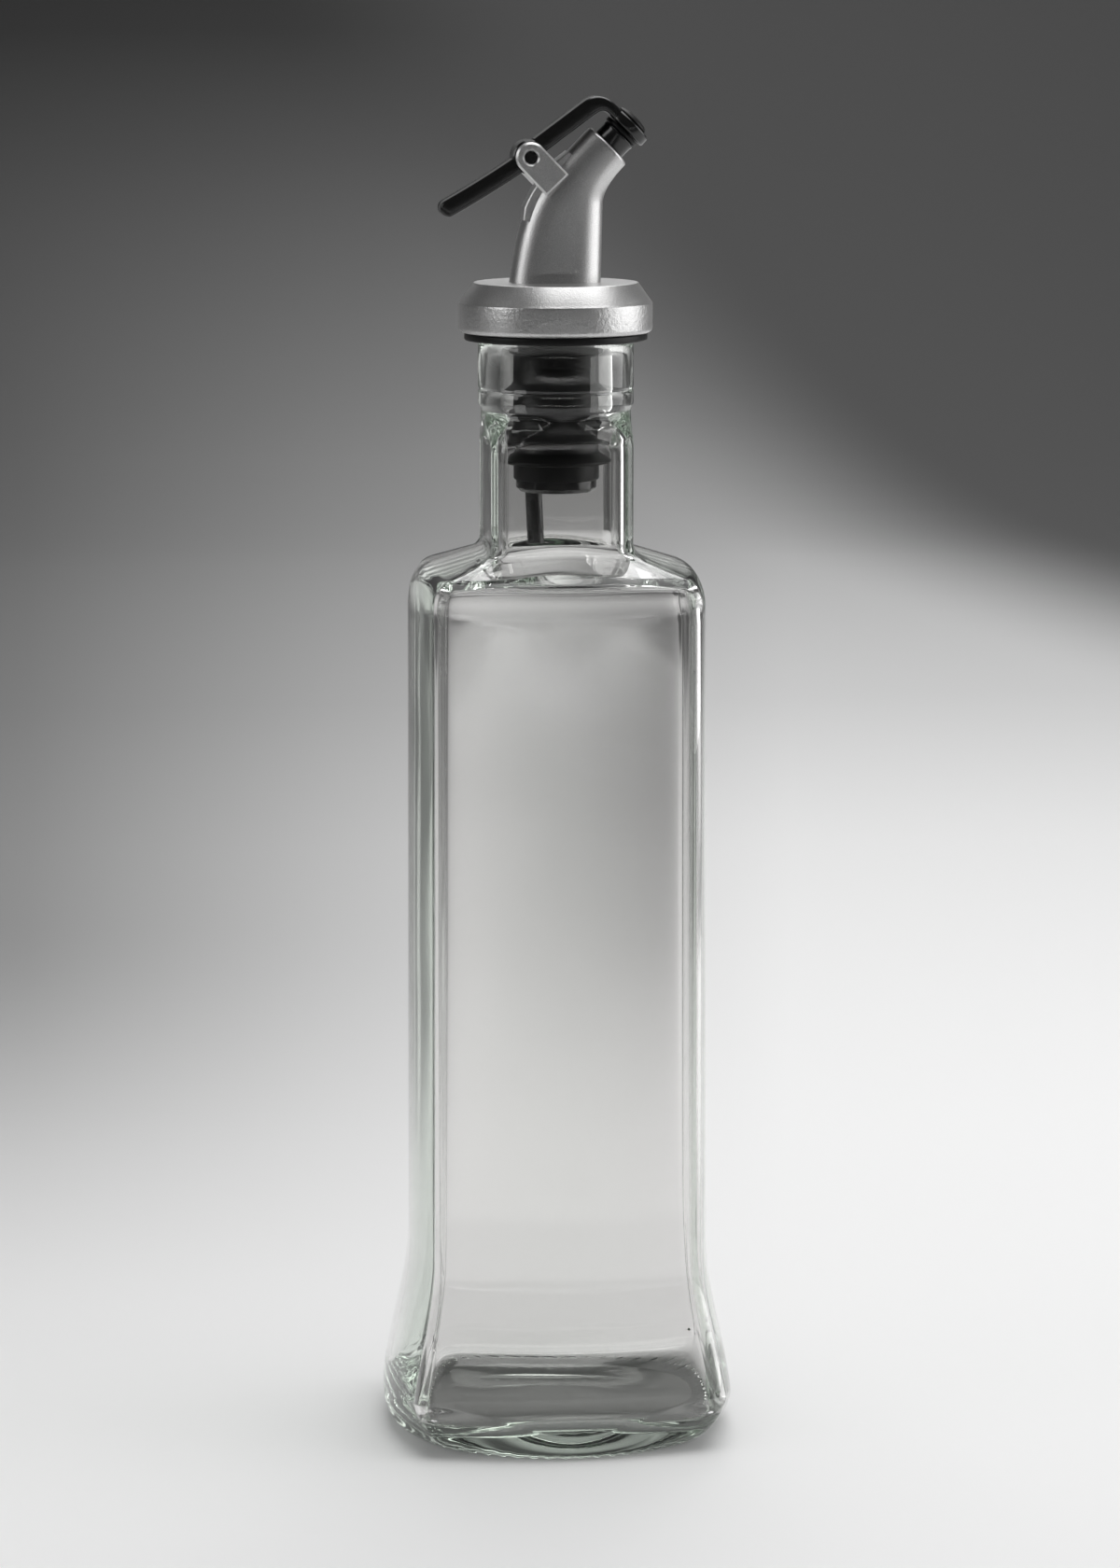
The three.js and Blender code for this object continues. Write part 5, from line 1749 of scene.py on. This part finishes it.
@dataclass
class Studio:
    """Floor with a curved backdrop, soft light and the camera."""

    sensor: float = 36.0
    picture: tuple[int, int] = (1200, 1680)
    focal: float = 5629.0
    axis_column: float = 595.5
    azimuth: float = math.radians(-6.3)
    pitch: float = math.radians(9.0)
    distance: float = 1.0564
    height: float = 0.2998
    reach: float = 3.0
    bend_start: float = 1.6
    bend_radius: float = 1.2
    wall: float = 2.6
    world_tone: float = 0.07
    bounces: int = 24
    lamps: Sequence[SoftBox] = (
        SoftBox("right_box", (1.0, -0.08, 0.38), (0, 0, 0.2), (1.0, 0.8), 5.2),
        SoftBox("left_box", (-1.0, -0.25, 0.6), (0, 0, 0.22), (0.5, 0.7), 2.4),
        SoftBox("top_box", (0.3, 0.15, 1.6), (0, 0.1, 0), (1.5, 1.5), 18.0),
        SoftBox("back_box", (0.4, 1.7, 1.6), (0, 1.7, 0), (1.2, 1.2), 7.0),
        SoftBox("shoulder_box", (0.15, 1.3, 1.45), (0, 0, 0.18), (0.9, 0.6), 4.0),
        SoftBox("table_box", (0.0, -1.28, 1.2), (0, -1.28, 0), (1.6, 0.3), 44.0, math.radians(30), False),
    )

    def build_sweep(self) -> None:
        """Lays the floor and bends it up behind the object."""
        sweep = bmesh.new()
        verts = [sweep.verts.new((-self.reach, place, height)) for place, height in self._sweep_line()]
        edges = [sweep.edges.new(pair) for pair in zip(verts, verts[1:])]
        made = bmesh.ops.extrude_edge_only(sweep, edges=edges)["geom"]
        moved = [item for item in made if isinstance(item, bmesh.types.BMVert)]
        bmesh.ops.translate(sweep, verts=moved, vec=(2 * self.reach, 0, 0))
        bmesh.ops.recalc_face_normals(sweep, faces=sweep.faces)
        if sum(face.normal.z for face in sweep.faces) < 0:
            bmesh.ops.reverse_faces(sweep, faces=sweep.faces)
        data = bpy.data.meshes.new("sweep")
        sweep.to_mesh(data)
        sweep.free()
        data.shade_smooth()
        data.materials.append(SweepPaper().material())
        floor = bpy.data.objects.new("sweep", data)
        bpy.context.scene.collection.objects.link(floor)

    def _sweep_line(self) -> Profile:
        """Side view of the sweep: floor, bend and wall."""
        bend = arc((self.bend_start, self.bend_radius), self.bend_radius, -90, 0, 33)
        return [(-self.reach, 0.0), (0.0, 0.0), *bend, (self.bend_start + self.bend_radius, self.wall)]

    def build_light(self) -> None:
        """Lights the scene."""
        world = bpy.data.worlds.new("studio_air")
        bpy.context.scene.world = world
        world.use_nodes = True
        world.node_tree.nodes["Background"].inputs["Color"].default_value = grey(self.world_tone)
        for lamp in self.lamps:
            lamp.build()
        paths = bpy.context.scene.cycles
        paths.max_bounces = paths.glossy_bounces = paths.transmission_bounces = self.bounces
        paths.caustics_refractive = False

    def build_camera(self) -> None:
        """Sets the camera up as the photograph was taken."""
        lens = bpy.data.cameras.new("camera")
        lens.sensor_width = self.sensor
        lens.lens = self.focal / self.picture[1] * self.sensor
        rig = bpy.data.objects.new("camera", lens)
        turn = math.atan((self.picture[0] / 2 - self.axis_column) / self.focal)
        across, away = math.sin(self.azimuth), math.cos(self.azimuth)
        rig.location = (self.distance * across, -self.distance * away, self.height)
        rig.rotation_euler = (math.pi / 2 - self.pitch, 0, self.azimuth - turn)
        bpy.context.scene.collection.objects.link(rig)
        bpy.context.scene.camera = rig
        bpy.context.scene.view_settings.view_transform = "Standard"


def main() -> None:
    """Builds the object piece by piece, then the studio round it."""
    logging.basicConfig(level=logging.INFO, format="%(message)s")
    finishes = Finishes()
    Bottle().build(finishes)
    Stopper().build(finishes)
    head = PourHead()
    head.build_shell(finishes)
    head.build_core(finishes)
    head.build_tube(finishes)
    head.build_pin(finishes)
    Lever(head).build(finishes)
    ReturnSpring(head).build(finishes)
    studio = Studio()
    studio.build_sweep()
    studio.build_light()
    studio.build_camera()


if __name__ == "__main__":
    main()
